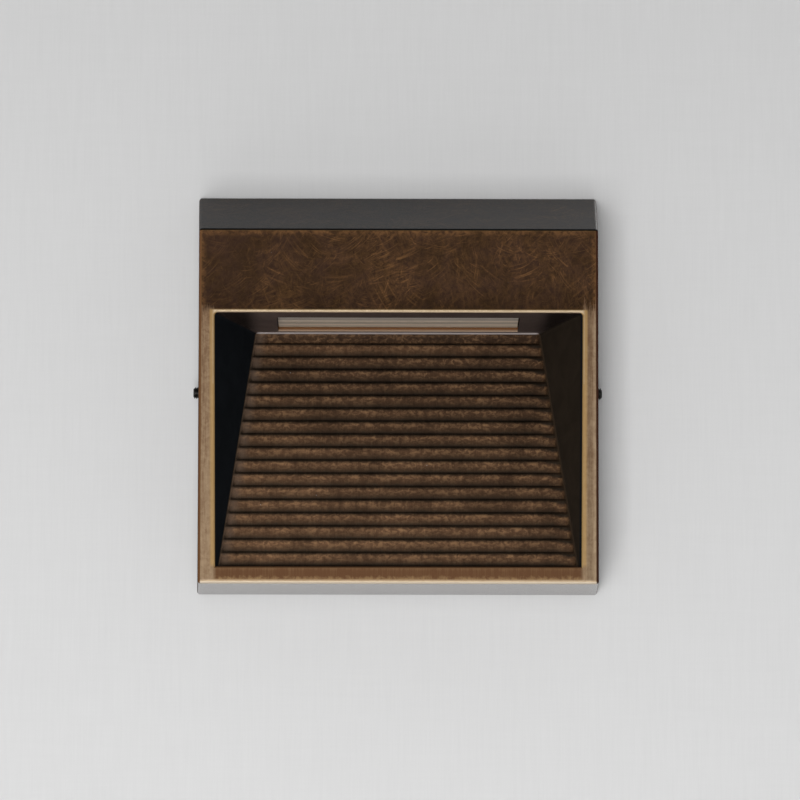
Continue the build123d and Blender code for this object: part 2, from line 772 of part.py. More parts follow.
pieces = {
    "front_housing": front_housing,
    "ribbed_reflector": ribbed_reflector,
    "reflector_screws": reflector_screws,
    "lens": lens,
    "lens_gasket": lens_gasket,
    "lens_frame": lens_frame,
    "lens_frame_screws": lens_frame_screws,
    "heat_spreader": heat_spreader,
    "led_board": led_board,
    "led_chips": led_chips,
    "led_connector": led_connector,
    "thermal_pad": thermal_pad,
    "board_screws": board_screws,
    "led_driver": led_driver,
    "driver_screws": driver_screws,
    "led_lead_red": led_lead_red,
    "led_lead_black": led_lead_black,
    "rear_cover": rear_cover,
    "rear_cover_gasket": rear_cover_gasket,
    "rear_cover_screws": rear_cover_screws,
    "lead_grommet": lead_grommet,
    "wall_gasket": wall_gasket,
    "wall_bracket": wall_bracket,
    "ground_screw": ground_screw,
    "set_screw_left": set_screw_left,
    "set_screw_right": set_screw_right,
    "screw_tip_left": screw_tip_left,
    "screw_tip_right": screw_tip_right,
}
os.makedirs("parts", exist_ok=True)
for name, piece in pieces.items():
    piece.part.label = name
    export_step(piece.part, "parts/" + name + ".step")
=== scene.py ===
"""Looks of a square outdoor wall sconce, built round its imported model.

Lengths are in metres. X runs to the right, Y runs into the wall and Z runs up.
"""

import json
import logging
import math
from dataclasses import dataclass, field
from enum import Enum
from functools import cache
from typing import Any

import bmesh
import bpy
from mathutils import Matrix, Vector


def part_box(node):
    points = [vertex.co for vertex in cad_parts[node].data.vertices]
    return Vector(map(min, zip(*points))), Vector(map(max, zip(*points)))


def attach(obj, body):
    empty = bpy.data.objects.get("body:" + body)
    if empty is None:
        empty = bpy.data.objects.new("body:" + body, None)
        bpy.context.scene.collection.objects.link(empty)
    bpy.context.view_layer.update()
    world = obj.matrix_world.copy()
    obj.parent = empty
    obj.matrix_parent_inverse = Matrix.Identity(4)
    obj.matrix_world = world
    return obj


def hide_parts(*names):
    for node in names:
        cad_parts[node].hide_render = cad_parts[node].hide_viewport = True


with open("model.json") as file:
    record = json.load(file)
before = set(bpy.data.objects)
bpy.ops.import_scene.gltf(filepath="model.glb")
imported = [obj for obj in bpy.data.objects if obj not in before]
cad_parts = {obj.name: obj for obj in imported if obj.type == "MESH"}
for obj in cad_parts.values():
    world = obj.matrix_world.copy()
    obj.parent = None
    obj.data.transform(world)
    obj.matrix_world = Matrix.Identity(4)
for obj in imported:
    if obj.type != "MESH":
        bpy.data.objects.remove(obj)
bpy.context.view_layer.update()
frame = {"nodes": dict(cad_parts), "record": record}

log = logging.getLogger("sconce")
MM = 0.001
LOCAL_PLACE = "local_place"
RIDGE_CENTRE = 0.4
RIDGE_RADIUS = 0.6
RIDGE_SIDES = 6

Colour = tuple[float, float, float]
Span = tuple[float, float]
Masks = dict[str, bpy.types.NodeSocket]


class NodeGraph:
    """Adds and joins the nodes of one shader or geometry tree."""

    def __init__(self, tree: bpy.types.NodeTree) -> None:
        """Keeps the tree that the nodes go into."""
        self.tree = tree

    def feed(self, socket: bpy.types.NodeSocket, value: Any) -> None:
        """Links a socket to another one, or sets its value.

        Args:
            socket: the input socket.
            value: an output socket, a plain value, or None to leave the default.
        """
        if isinstance(value, bpy.types.NodeSocket):
            self.tree.links.new(value, socket)
        elif value is not None:
            socket.default_value = value

    def add(self, kind: str, settings: dict[str, Any] | None = None, **inputs: Any) -> bpy.types.Node:
        """Adds a node.

        Args:
            kind: Blender's name of the node type.
            settings: the node's own properties, by name.
            inputs: values or links, by socket name with underscores for spaces.

        Returns:
            The new node.
        """
        node = self.tree.nodes.new(kind)
        for key, value in (settings or {}).items():
            setattr(node, key, value)
        for key, value in inputs.items():
            self.feed(node.inputs[key.replace("_", " ")], value)
        return node

    def math(self, operation: str, *values: Any) -> bpy.types.NodeSocket:
        """Adds a Math node and returns its output."""
        node = self.add("ShaderNodeMath", {"operation": operation})
        for socket, value in zip(node.inputs, values):
            self.feed(socket, value)
        return node.outputs[0]

    def vector_math(self, operation: str, *values: Any) -> bpy.types.NodeSocket:
        """Adds a Vector Math node and returns its output, a number where the operation gives one."""
        node = self.add("ShaderNodeVectorMath", {"operation": operation})
        for socket, value in zip(node.inputs, values):
            self.feed(socket, value)
        return node.outputs[1 if operation in ("DOT_PRODUCT", "LENGTH", "DISTANCE") else 0]

    def combine(self, x: Any = 0.0, y: Any = 0.0, z: Any = 0.0) -> bpy.types.NodeSocket:
        """Joins three numbers into a vector."""
        return self.add("ShaderNodeCombineXYZ", X=x, Y=y, Z=z).outputs[0]

    def separate(self, vector: bpy.types.NodeSocket) -> tuple[bpy.types.NodeSocket, ...]:
        """Splits a vector into its three numbers."""
        return tuple(self.add("ShaderNodeSeparateXYZ", Vector=vector).outputs)

    def remap(self, value: Any, low: Any, high: Any, start: Any = 0.0, end: Any = 1.0,
              smooth: bool = False) -> bpy.types.NodeSocket:
        """Maps a number from low..high to start..end, held at both ends.

        Args:
            value: the number.
            low: the value that becomes start.
            high: the value that becomes end.
            start: the result at low.
            end: the result at high.
            smooth: whether the change eases in and out.

        Returns:
            The mapped number.
        """
        kind = "SMOOTHSTEP" if smooth else "LINEAR"
        node = self.add("ShaderNodeMapRange", {"interpolation_type": kind, "clamp": True})
        for socket, given in zip(node.inputs, (value, low, high, start, end)):
            self.feed(socket, given)
        return node.outputs[0]

    def vary(self, mask: Any, start: Any, end: Any) -> bpy.types.NodeSocket:
        """Turns a mask from 0 to 1 into a number from start to end."""
        return self.remap(mask, 0.0, 1.0, start, end)

    def rest(self, share: Any) -> bpy.types.NodeSocket:
        """What a share leaves of 1."""
        return self.math("SUBTRACT", 1.0, share)

    def centred(self, mask: Any) -> bpy.types.NodeSocket:
        """A mask from 0 to 1, moved to lie evenly about 0."""
        return self.math("SUBTRACT", mask, 0.5)

    def pick(self, test: Any, where_not: Any, where: Any) -> bpy.types.NodeSocket:
        """One number where a test is 0 and another where it is 1."""
        node = self.add("ShaderNodeMix", {"data_type": "FLOAT", "clamp_factor": True})
        for socket, value in zip((node.inputs[0], node.inputs[2], node.inputs[3]),
                                 (test, where_not, where)):
            self.feed(socket, value)
        return node.outputs[0]

    def product(self, first: Any, *others: Any) -> bpy.types.NodeSocket:
        """Multiplies several numbers."""
        for other in others:
            first = self.math("MULTIPLY", first, other)
        return first


class GeometryTree(NodeGraph):
    """A geometry node tree whose named inputs are its sizes."""

    def __init__(self, name: str) -> None:
        """Makes the tree with its geometry input and output."""
        super().__init__(bpy.data.node_groups.new(name, "GeometryNodeTree"))
        self.interface = self.tree.interface
        self.interface.new_socket("Geometry", in_out="INPUT", socket_type="NodeSocketGeometry")
        self.interface.new_socket("Geometry", in_out="OUTPUT", socket_type="NodeSocketGeometry")
        self.values: dict[str, Any] = {}
        self.entry = self.tree.nodes.new("NodeGroupInput")

    @property
    def geometry(self) -> bpy.types.NodeSocket:
        """The geometry that the modifier's object brings in."""
        return self.entry.outputs[0]

    def size(self, name: str, value: float | int | Vector | bpy.types.Material) -> bpy.types.NodeSocket:
        """Adds a named input and keeps the value that the modifier will give it.

        Args:
            name: the input's name.
            value: a number, a vector or a material.

        Returns:
            The socket that carries the value inside the tree.
        """
        kinds = {float: "NodeSocketFloat", int: "NodeSocketInt", Vector: "NodeSocketVector",
                 bpy.types.Material: "NodeSocketMaterial"}
        made = self.interface.new_socket(name, in_out="INPUT", socket_type=kinds[type(value)])
        self.values[made.identifier] = value
        return self.entry.outputs[name]

    def index(self) -> bpy.types.NodeSocket:
        """The number of the point or face that a value is worked out for."""
        return self.add("GeometryNodeInputIndex").outputs[0]

    def position(self) -> bpy.types.NodeSocket:
        """The place of the point that a value is worked out for."""
        return self.add("GeometryNodeInputPosition").outputs[0]

    def place(self, geometry: bpy.types.NodeSocket, position: Any) -> bpy.types.NodeSocket:
        """Sets the place of every point."""
        return self.add("GeometryNodeSetPosition", Geometry=geometry, Position=position).outputs[0]

    def join(self, *parts: bpy.types.NodeSocket) -> bpy.types.NodeSocket:
        """Joins several geometries into one."""
        node = self.add("GeometryNodeJoinGeometry")
        for part in parts:
            self.tree.links.new(part, node.inputs[0])
        return node.outputs[0]

    def solid(self, operation: str, first: bpy.types.NodeSocket,
              *others: bpy.types.NodeSocket) -> bpy.types.NodeSocket:
        """Cuts closed meshes out of a closed mesh, or unites them with it.

        Args:
            operation: DIFFERENCE or UNION.
            first: the mesh that is worked on.
            others: the meshes that are cut out or added.

        Returns:
            The resulting mesh.
        """
        node = self.add("GeometryNodeMeshBoolean", {"operation": operation, "solver": "EXACT"})
        if operation == "DIFFERENCE":
            self.tree.links.new(first, node.inputs["Mesh 1"])
        else:
            self.tree.links.new(first, node.inputs["Mesh 2"])
        for other in others:
            self.tree.links.new(other, node.inputs["Mesh 2"])
        return node.outputs[0]

    def polyline(self, count: Any, position: bpy.types.NodeSocket) -> bpy.types.NodeSocket:
        """A curve of straight runs whose points are worked out from their index.

        Args:
            count: how many points it has.
            position: the place of each point.

        Returns:
            The curve.
        """
        line = self.add("GeometryNodeCurvePrimitiveLine").outputs[0]
        resampled = self.add("GeometryNodeResampleCurve", {"mode": "COUNT"}, Curve=line, Count=count)
        return self.place(resampled.outputs[0], position)

    def chosen(self, vectors: list[bpy.types.NodeSocket]) -> bpy.types.NodeSocket:
        """The vector whose place in the list is the index."""
        node = self.add("GeometryNodeIndexSwitch", {"data_type": "VECTOR"})
        while len(node.index_switch_items) < len(vectors):
            node.index_switch_items.new()
        self.feed(node.inputs[0], self.index())
        for number, vector in enumerate(vectors):
            self.feed(node.inputs[number + 1], vector)
        return node.outputs[0]

    def rounded(self, curve: bpy.types.NodeSocket, radius: Any, count: int) -> bpy.types.NodeSocket:
        """Rounds a curve's corners with arcs of a radius."""
        node = self.add("GeometryNodeFilletCurve", {"mode": "POLY"}, Curve=curve, Count=count,
                        Radius=radius)
        return node.outputs[0]

    def revolved(self, profile: bpy.types.NodeSocket, segments: Any) -> bpy.types.NodeSocket:
        """Turns a curve in the XZ plane about Z into a closed surface.

        Args:
            profile: the curve, from one point of the axis to another.
            segments: how many sides go round.

        Returns:
            The surface, with its poles merged.
        """
        points = self.add("GeometryNodeCurveToPoints", {"mode": "EVALUATED"}, Curve=profile).outputs[0]
        size = self.add("GeometryNodeAttributeDomainSize", {"component": "POINTCLOUD"}, Geometry=points)
        rows = size.outputs["Point Count"]
        columns = self.math("ADD", segments, 1)
        grid = self.add("GeometryNodeMeshGrid", Size_X=1.0, Size_Y=1.0, Vertices_X=columns, Vertices_Y=rows)
        row = self.math("MODULO", self.index(), rows)
        column = self.math("FLOOR", self.math("DIVIDE", self.index(), rows))
        sample = self.add("GeometryNodeSampleIndex", {"data_type": "FLOAT_VECTOR"}, Geometry=points)
        self.feed(sample.inputs["Value"], self.position())
        self.feed(sample.inputs["Index"], row)
        radius, _, height = self.separate(sample.outputs[0])
        angle = self.math("MULTIPLY", self.math("DIVIDE", column, segments), 2 * math.pi)
        place = self.combine(
            self.math("MULTIPLY", radius, self.math("COSINE", angle)),
            self.math("MULTIPLY", radius, self.math("SINE", angle)),
            height,
        )
        surface = self.place(grid.outputs[0], place)
        merged = self.add("GeometryNodeMergeByDistance", Geometry=surface, Distance=0.001 * MM)
        return merged.outputs[0]

    def creased(self, mesh: bpy.types.NodeSocket, angle: float) -> bpy.types.NodeSocket:
        """Shades a mesh smooth, with sharp edges where its faces meet at more than an angle.

        Args:
            mesh: the mesh.
            angle: the least angle of a sharp edge, in degrees.

        Returns:
            The same mesh with its shading set.
        """
        smooth = self.add("GeometryNodeSetShadeSmooth", {"domain": "FACE"}, Shade_Smooth=True)
        self.feed(smooth.inputs[0], mesh)
        turn = self.add("GeometryNodeInputMeshEdgeAngle").outputs["Unsigned Angle"]
        sharp = self.add("FunctionNodeCompare", {"data_type": "FLOAT", "operation": "GREATER_THAN"})
        self.feed(sharp.inputs[0], turn)
        self.feed(sharp.inputs[1], math.radians(angle))
        edges = self.add("GeometryNodeSetShadeSmooth", {"domain": "EDGE"}, Shade_Smooth=False)
        self.feed(edges.inputs[0], smooth.outputs[0])
        self.feed(edges.inputs["Selection"], sharp.outputs[0])
        return edges.outputs[0]

    def marked(self, mesh: bpy.types.NodeSocket) -> bpy.types.NodeSocket:
        """Keeps each point's place in millimetres, as it is before the mesh is copied, for the finish."""
        node = self.add("GeometryNodeStoreNamedAttribute", {"data_type": "FLOAT_VECTOR", "domain": "POINT"},
                        Geometry=mesh, Name=LOCAL_PLACE)
        place = self.vector_math("SCALE", self.position())
        self.feed(place.node.inputs["Scale"], 1 / MM)
        self.feed(node.inputs["Value"], place)
        return node.outputs[0]

    def thread(self, root: Any, depth: Any, turns: Any, rise: Any, lift: Any,
               steps: int) -> bpy.types.NodeSocket:
        """The helical ridge of a screw's thread.

        Args:
            root: the radius of the screw's core.
            depth: the thread's depth.
            turns: how many turns it has.
            rise: its length along the axis.
            lift: where it starts along the axis.
            steps: how many straight runs make one turn.

        Returns:
            The ridge as a closed mesh.
        """
        middle = self.math("ADD", root, self.math("MULTIPLY", depth, RIDGE_CENTRE))
        helix = self.add("GeometryNodeCurveSpiral", Resolution=steps, Rotations=turns, Start_Radius=middle,
                         End_Radius=middle, Height=rise).outputs[0]
        helix = self.add("GeometryNodeTransform", Geometry=helix,
                         Translation=self.combine(0.0, 0.0, lift)).outputs[0]
        ridge = self.add("GeometryNodeCurvePrimitiveCircle", {"mode": "RADIUS"}, Resolution=RIDGE_SIDES,
                         Radius=self.math("MULTIPLY", depth, RIDGE_RADIUS)).outputs[0]
        return self.swept(helix, ridge)

    def swept(self, path: bpy.types.NodeSocket, profile: bpy.types.NodeSocket) -> bpy.types.NodeSocket:
        """A profile carried along a path, with its ends closed."""
        return self.add("GeometryNodeCurveToMesh", Curve=path, Profile_Curve=profile,
                        Fill_Caps=True).outputs[0]

    def copied(self, shape: bpy.types.NodeSocket, turn: Any) -> bpy.types.NodeSocket:
        """A turned copy of a shape at each of the tree's own points."""
        return self.add("GeometryNodeInstanceOnPoints", Points=self.geometry, Instance=shape,
                        Rotation=turn).outputs[0]

    def painted(self, mesh: bpy.types.NodeSocket, name: str,
                material: bpy.types.Material) -> bpy.types.NodeSocket:
        """Gives a mesh the material of a named input."""
        return self.add("GeometryNodeSetMaterial", Geometry=mesh,
                        Material=self.size(name, material)).outputs[0]

    def mesh(self, name: str, result: bpy.types.NodeSocket, points: list[Vector]) -> bpy.types.Object:
        """Ends the tree and turns what it makes into a plain mesh object.

        Args:
            name: the new object's name.
            result: the geometry to put out, its materials already set.
            points: the points that the tree starts from.

        Returns:
            The new object, with no modifier.
        """
        realized = self.add("GeometryNodeRealizeInstances", Geometry=result).outputs[0]
        self.tree.links.new(realized, self.tree.nodes.new("NodeGroupOutput").inputs[0])
        seed = bpy.data.meshes.new(name + "_points")
        seed.from_pydata(points, [], [])
        maker = bpy.data.objects.new(name + "_maker", seed)
        bpy.context.scene.collection.objects.link(maker)
        modifier = maker.modifiers.new("shape", "NODES")
        modifier.node_group = self.tree
        for identifier, value in self.values.items():
            modifier[identifier] = value
        depsgraph = bpy.context.evaluated_depsgraph_get()
        made = bpy.data.meshes.new_from_object(maker.evaluated_get(depsgraph), depsgraph=depsgraph)
        bpy.data.objects.remove(maker)
        bpy.data.meshes.remove(seed)
        made.name = name
        piece = bpy.data.objects.new(name, made)
        bpy.context.scene.collection.objects.link(piece)
        return piece


@dataclass
class CastForm:
    """The sizes of the cast housing's front and recess that the looks refer to."""

    width: float = 133.35 * MM
    height: float = 133.35 * MM
    projection: float = 44.45 * MM
    side_draft: float = math.radians(2.0)
    top_fall: float = 15.9 * MM
    bar_height: float = 27.4 * MM
    rail_height: float = 5.6 * MM
    stile_top: float = 5.0 * MM
    stile_bottom: float = 5.55 * MM
    back_reach: float = 12.0 * MM
    splay: float = 12.75 * MM
    ceiling_fall: float = 3.3 * MM
    ramp_ledge: float = 2.4 * MM
    window_side_gap: float = 7.55 * MM

    def __post_init__(self) -> None:
        """Works out what follows from the driving sizes."""
        inset = self.projection * math.tan(self.side_draft)
        self.front_half = self.width / 2 - inset
        self.front_low = -self.height / 2 + inset
        self.front_high = self.height / 2 - self.top_fall
        self.opening_low = self.front_low + self.rail_height
        self.opening_high = self.front_high - self.bar_height
        self.half_low = self.front_half - self.stile_bottom
        self.half_high = self.front_half - self.stile_top
        self.lean = (self.half_high - self.half_low) / (self.opening_high - self.opening_low)
        self.depth = self.projection - self.back_reach
        self.taper = self.splay / self.depth
        self.ceiling_slope = self.ceiling_fall / self.depth
        self.ceiling_back = self.opening_high - self.ceiling_fall
        back_half = self.half_high - self.lean * self.ceiling_fall - self.splay
        self.window_half = back_half - self.window_side_gap

    @property
    def ramp_top(self) -> Vector:
        """The middle of the ramp's upper edge."""
        return Vector((0, -self.back_reach, self.ceiling_back))

    @property
    def ramp_length(self) -> float:
        """The length of the ramp down its slope."""
        return math.hypot(self.depth - self.ramp_ledge, self.ceiling_back - self.opening_low)

    @property
    def ramp_down(self) -> Vector:
        """The direction down the ramp."""
        return Vector((0, self.ramp_ledge - self.depth, self.opening_low - self.ceiling_back)).normalized()

    @property
    def ceiling_frame(self) -> Matrix:
        """X along the ceiling's front edge, Y back along the ceiling and Z up from it."""
        back = Vector((0, self.depth, -self.ceiling_fall)).normalized()
        up = Vector((1, 0, 0)).cross(back)
        return axes_matrix(Vector((1, 0, 0)), back, up, Vector((0, -self.projection, self.opening_high)))


def axes_matrix(x: Vector, y: Vector, z: Vector, origin: Vector) -> Matrix:
    """A matrix with three given axes and a given origin."""
    turned = Matrix((x, y, z)).transposed().to_4x4()
    return Matrix.Translation(origin) @ turned


def solids_of(node: str) -> list[list[Vector]]:
    """The separate solids of a CAD node, each as the list of its corners.

    Args:
        node: the CAD node's name.

    Returns:
        One list of points for each solid, ordered from left to right and from low to high.
    """
    mesh = bmesh.new()
    mesh.from_mesh(frame["nodes"][node].data)
    bmesh.ops.remove_doubles(mesh, verts=mesh.verts, dist=0.0005 * MM)
    waiting = set(mesh.verts)
    found = []
    while waiting:
        front = [waiting.pop()]
        group = []
        while front:
            corner = front.pop()
            group.append(corner.co.copy())
            for edge in corner.link_edges:
                other = edge.other_vert(corner)
                if other in waiting:
                    waiting.remove(other)
                    front.append(other)
        found.append(sorted(group, key=tuple))
    mesh.free()
    return sorted(found, key=lambda group: tuple(round(min(p[axis] for p in group), 4) for axis in (0, 2)))


@dataclass
class PanScrews:
    """Pan-head screws with a cross recess and a rolled thread, one for each solid of a CAD node."""

    node: str
    body: str
    axis: Vector
    head_radius: float = 2.7 * MM
    head_height: float = 2.0 * MM
    head_rim: float = 0.5 * MM
    dome_round: float = 1.1 * MM
    shank_radius: float = 1.45 * MM
    thread_depth: float = 0.3 * MM
    thread_pitch: float = 0.8 * MM
    recess_length: float = 3.0 * MM
    recess_width: float = 0.75 * MM
    recess_depth: float = 1.1 * MM
    crown_share: float = 0.92
    tail_share: float = 0.7
    plain_turns: float = 1.5
    tail_turns: float = 0.8
    thread_steps: int = 20
    sides: int = 36
    crease: float = 35.0
    seed: int = 3

    def seats(self) -> tuple[list[Vector], float]:
        """Where the heads seat, and how long the shanks are, from the CAD node.

        Returns:
            The seats' centres and the shank length.
        """
        places = []
        shank = 0.0
        side = Vector((1, 0, 0)) if abs(self.axis.x) < 0.5 else Vector((0, 0, 1))
        across = self.axis.cross(side).normalized()
        side = across.cross(self.axis)
        for points in solids_of(self.node):
            spans = [(min(p.dot(d) for p in points), max(p.dot(d) for p in points))
                     for d in (side, across, self.axis)]
            seat = spans[2][1] - self.head_height
            shank = seat - spans[2][0]
            places.append(side * sum(spans[0]) / 2 + across * sum(spans[1]) / 2 + self.axis * seat)
        return places, shank

    def build(self, material: bpy.types.Material, slot: str) -> bpy.types.Object:
        """Builds the screws as one mesh and puts it in the CAD node's place.

        Args:
            material: the screws' finish.
            slot: the record's material slot; not used.

        Returns:
            The finished piece.
        """
        places, shank = self.seats()
        tree = GeometryTree(self.node + "_tree")
        head_radius = tree.size("Head Radius", self.head_radius)
        head_height = tree.size("Head Height", self.head_height)
        rim = tree.size("Head Rim", self.head_rim)
        root = tree.size("Root Radius", self.shank_radius - self.thread_depth)
        length = tree.size("Shank Length", shank)
        pitch = tree.size("Thread Pitch", self.thread_pitch)
        tail = tree.math("MULTIPLY", length, -1.0)
        corners = [
            tree.combine(0.0, 0.0, head_height),
            tree.combine(tree.math("MULTIPLY", head_radius, self.crown_share), 0.0, head_height),
            tree.combine(head_radius, 0.0, rim),
            tree.combine(head_radius, 0.0, 0.0),
            tree.combine(root, 0.0, 0.0),
            tree.combine(root, 0.0, tree.math("ADD", tail, pitch)),
            tree.combine(tree.math("MULTIPLY", root, self.tail_share), 0.0, tail),
            tree.combine(0.0, 0.0, tail),
        ]
        dome = tree.math("MULTIPLY", tree.size("Dome Round", self.dome_round),
                         tree.math("COMPARE", tree.index(), 1.0, 0.5))
        profile = tree.rounded(tree.polyline(len(corners), tree.chosen(corners)), dome, 6)
        body = tree.revolved(profile, tree.size("Segments", self.sides))
        arms = []
        size = tree.combine(tree.size("Recess Length", self.recess_length),
                            tree.size("Recess Width", self.recess_width),
                            tree.size("Recess Height", 2 * self.recess_depth))
        for turn in (0.0, math.pi / 2):
            bar = tree.add("GeometryNodeMeshCube", Size=size).outputs[0]
            moved = tree.add("GeometryNodeTransform", Geometry=bar, Rotation=(0.0, 0.0, turn),
                             Translation=tree.combine(0.0, 0.0, head_height))
            arms.append(moved.outputs[0])
        recessed = tree.solid("DIFFERENCE", body, *arms)
        plain = tree.math("MULTIPLY", pitch, self.plain_turns)
        turns = tree.math("DIVIDE", tree.math("SUBTRACT", length, plain), pitch)
        thread = tree.thread(root, tree.size("Thread Depth", self.thread_depth), turns,
                             tree.math("MULTIPLY", turns, pitch),
                             tree.math("SUBTRACT", tree.math("MULTIPLY", pitch, self.tail_turns), length),
                             self.thread_steps)
        screw = tree.marked(tree.creased(tree.join(recessed, thread), self.crease))
        axis = tree.size("Axis", self.axis.copy())
        aim = tree.add("FunctionNodeAlignRotationToVector", {"axis": "Z"}, Vector=axis).outputs[0]
        chance = tree.add("FunctionNodeRandomValue", {"data_type": "FLOAT"})
        tree.feed(chance.inputs["Seed"], tree.size("Seed", self.seed))
        tree.feed(chance.inputs[3], math.pi)
        spin = tree.add("FunctionNodeAxisAngleToRotation", Axis=(0.0, 0.0, 1.0), Angle=chance.outputs[1])
        turned = tree.add("FunctionNodeRotateRotation", {"rotation_space": "LOCAL"}, Rotation=aim)
        tree.feed(turned.inputs[1], spin.outputs[0])
        copies = tree.copied(screw, turned.outputs[0])
        piece = tree.mesh(self.node + "_threaded", tree.painted(copies, "Finish", material), places)
        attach(piece, self.body)
        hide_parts(self.node)
        return piece


@dataclass
class RibbedRamp:
    """The slanted reflector with its ribs, the margins behind the recess walls and two screw lugs."""

    form: CastForm
    step_count: int = 18
    top_band: float = 4.2 * MM
    last_step: float = 0.35 * MM
    tread_drop: float = 0.25 * MM
    step_round: float = 0.9 * MM
    groove_round: float = 0.3 * MM
    end_round: float = 1.5 * MM
    base: float = 1.7 * MM
    margin: float = 2.6 * MM
    lug_radius: float = 3.6 * MM
    lug_hole: float = 1.75 * MM
    stations: int = 60

    def __post_init__(self) -> None:
        """Works out the rib pitch and the plate's thickness."""
        self.pitch = (self.form.ramp_length - self.top_band - self.last_step) / (self.step_count - 1)
        down = self.form.ramp_down
        self.thickness = self.pitch * down.y * down.z + self.base

    @property
    def plane(self) -> Matrix:
        """X across the ramp, Y down its slope and Z into its thickness."""
        across = Vector((1, 0, 0))
        down = self.form.ramp_down
        return axes_matrix(across, down, across.cross(down), self.form.ramp_top)

    def half_width(self, tree: GeometryTree, y: Any, z: Any) -> bpy.types.NodeSocket:
        """Half the recess's width at a depth and a height."""
        taper = tree.math("MULTIPLY", tree.math("ADD", y, self.form.projection), self.form.taper)
        lean = tree.math("MULTIPLY", tree.math("SUBTRACT", z, self.form.opening_low), self.form.lean)
        return tree.math("ADD", tree.math("SUBTRACT", self.form.half_low, taper), lean)

    def profile(self, tree: GeometryTree) -> bpy.types.NodeSocket:
        """The closed side view of the space in front of the ribs, as X for depth and Y for height.

        Args:
            tree: the tree that it is built in.

        Returns:
            The closed curve.
        """
        steps = tree.size("Step Count", self.step_count)
        pitch = tree.size("Rib Pitch", self.pitch)
        band = tree.size("Top Band", self.top_band)
        down = tree.separate(tree.size("Down The Ramp", self.form.ramp_down))
        top = tree.separate(tree.size("Ramp Top", self.form.ramp_top))
        front = tree.size("Space Front", -self.form.projection)
        foot = tree.size("Space Foot", self.form.opening_low - self.base)
        index = tree.index()
        half = tree.math("FLOOR", tree.math("DIVIDE", index, 2.0))
        odd = tree.math("SUBTRACT", index, tree.math("MULTIPLY", half, 2.0))
        last = tree.math("ADD", tree.math("MULTIPLY", steps, 2.0), 1.0)
        above = tree.math("SUBTRACT", half, 1.0)
        run = tree.math("ADD", band, tree.math("MULTIPLY", above, pitch))
        run = tree.math("MULTIPLY", run, tree.math("GREATER_THAN", half, 0.5))
        depth = tree.math("ADD", top[1], tree.math("MULTIPLY", down[1], run))
        level = tree.math("ADD", above, odd)
        drop = tree.math("ADD", band, tree.math("MULTIPLY", level, pitch))
        height = tree.math("ADD", top[2], tree.math("MULTIPLY", down[2], drop))
        height = tree.math("ADD", height, tree.product(odd, tree.size("Tread Drop", self.tread_drop)))
        head = tree.math("ADD", top[2], tree.size("Space Head", self.base))
        first = tree.math("LESS_THAN", index, 0.5)
        beyond = tree.math("GREATER_THAN", index, tree.math("SUBTRACT", last, 0.5))
        corner = tree.math("GREATER_THAN", index, tree.math("ADD", last, 0.5))
        end = tree.math("GREATER_THAN", index, tree.math("ADD", last, 1.5))
        height = tree.pick(first, height, head)
        height = tree.pick(beyond, height, foot)
        height = tree.pick(end, height, head)
        depth = tree.pick(corner, depth, front)
        count = tree.math("ADD", last, 3.0)
        line = tree.polyline(count, tree.combine(depth, height, 0.0))
        closed = tree.add("GeometryNodeSetSplineCyclic", Cyclic=True)
        tree.feed(closed.inputs[0], line)
        radius = tree.pick(odd, tree.size("Step Round", self.step_round),
                           tree.size("Groove Round", self.groove_round))
        square = tree.math("ADD", first, beyond)
        radius = tree.pick(square, radius, 0.0)
        return tree.rounded(closed.outputs[0], radius, 5)

    def space(self, tree: GeometryTree) -> bpy.types.NodeSocket:
        """The space in front of the ribs as a closed mesh, which ends in a cove at each recess wall.

        Args:
            tree: the tree that it is built in.

        Returns:
            The closed mesh.
        """
        path = tree.add("GeometryNodeCurvePrimitiveLine", Start=(0.0, 0.0, -1.0),
                        End=(0.0, 0.0, 1.0)).outputs[0]
        path = tree.add("GeometryNodeResampleCurve", {"mode": "COUNT"}, Curve=path,
                        Count=tree.size("Stations", self.stations)).outputs[0]
        swept = tree.swept(path, self.profile(tree))
        depth, height, station = tree.separate(tree.position())
        eased = tree.math("SINE", tree.math("MULTIPLY", station, math.pi / 2))
        half = self.half_width(tree, depth, height)
        gap = tree.math("MULTIPLY", half, tree.rest(tree.math("ABSOLUTE", eased)))
        end_round = tree.size("End Round", self.end_round)
        short = tree.math("MAXIMUM", tree.math("SUBTRACT", end_round, gap), 0.0)
        rest = tree.math("SUBTRACT", tree.product(end_round, end_round), tree.product(short, short))
        cove = tree.math("SUBTRACT", end_round, tree.math("SQRT", rest))
        behind = tree.math("GREATER_THAN", depth, 0.5 * MM - self.form.projection)
        moved = tree.math("SUBTRACT", depth, tree.math("MULTIPLY", cove, behind))
        placed = tree.place(swept, tree.combine(tree.math("MULTIPLY", eased, half), moved, height))
        return tree.add("GeometryNodeFlipFaces", Mesh=placed).outputs[0]

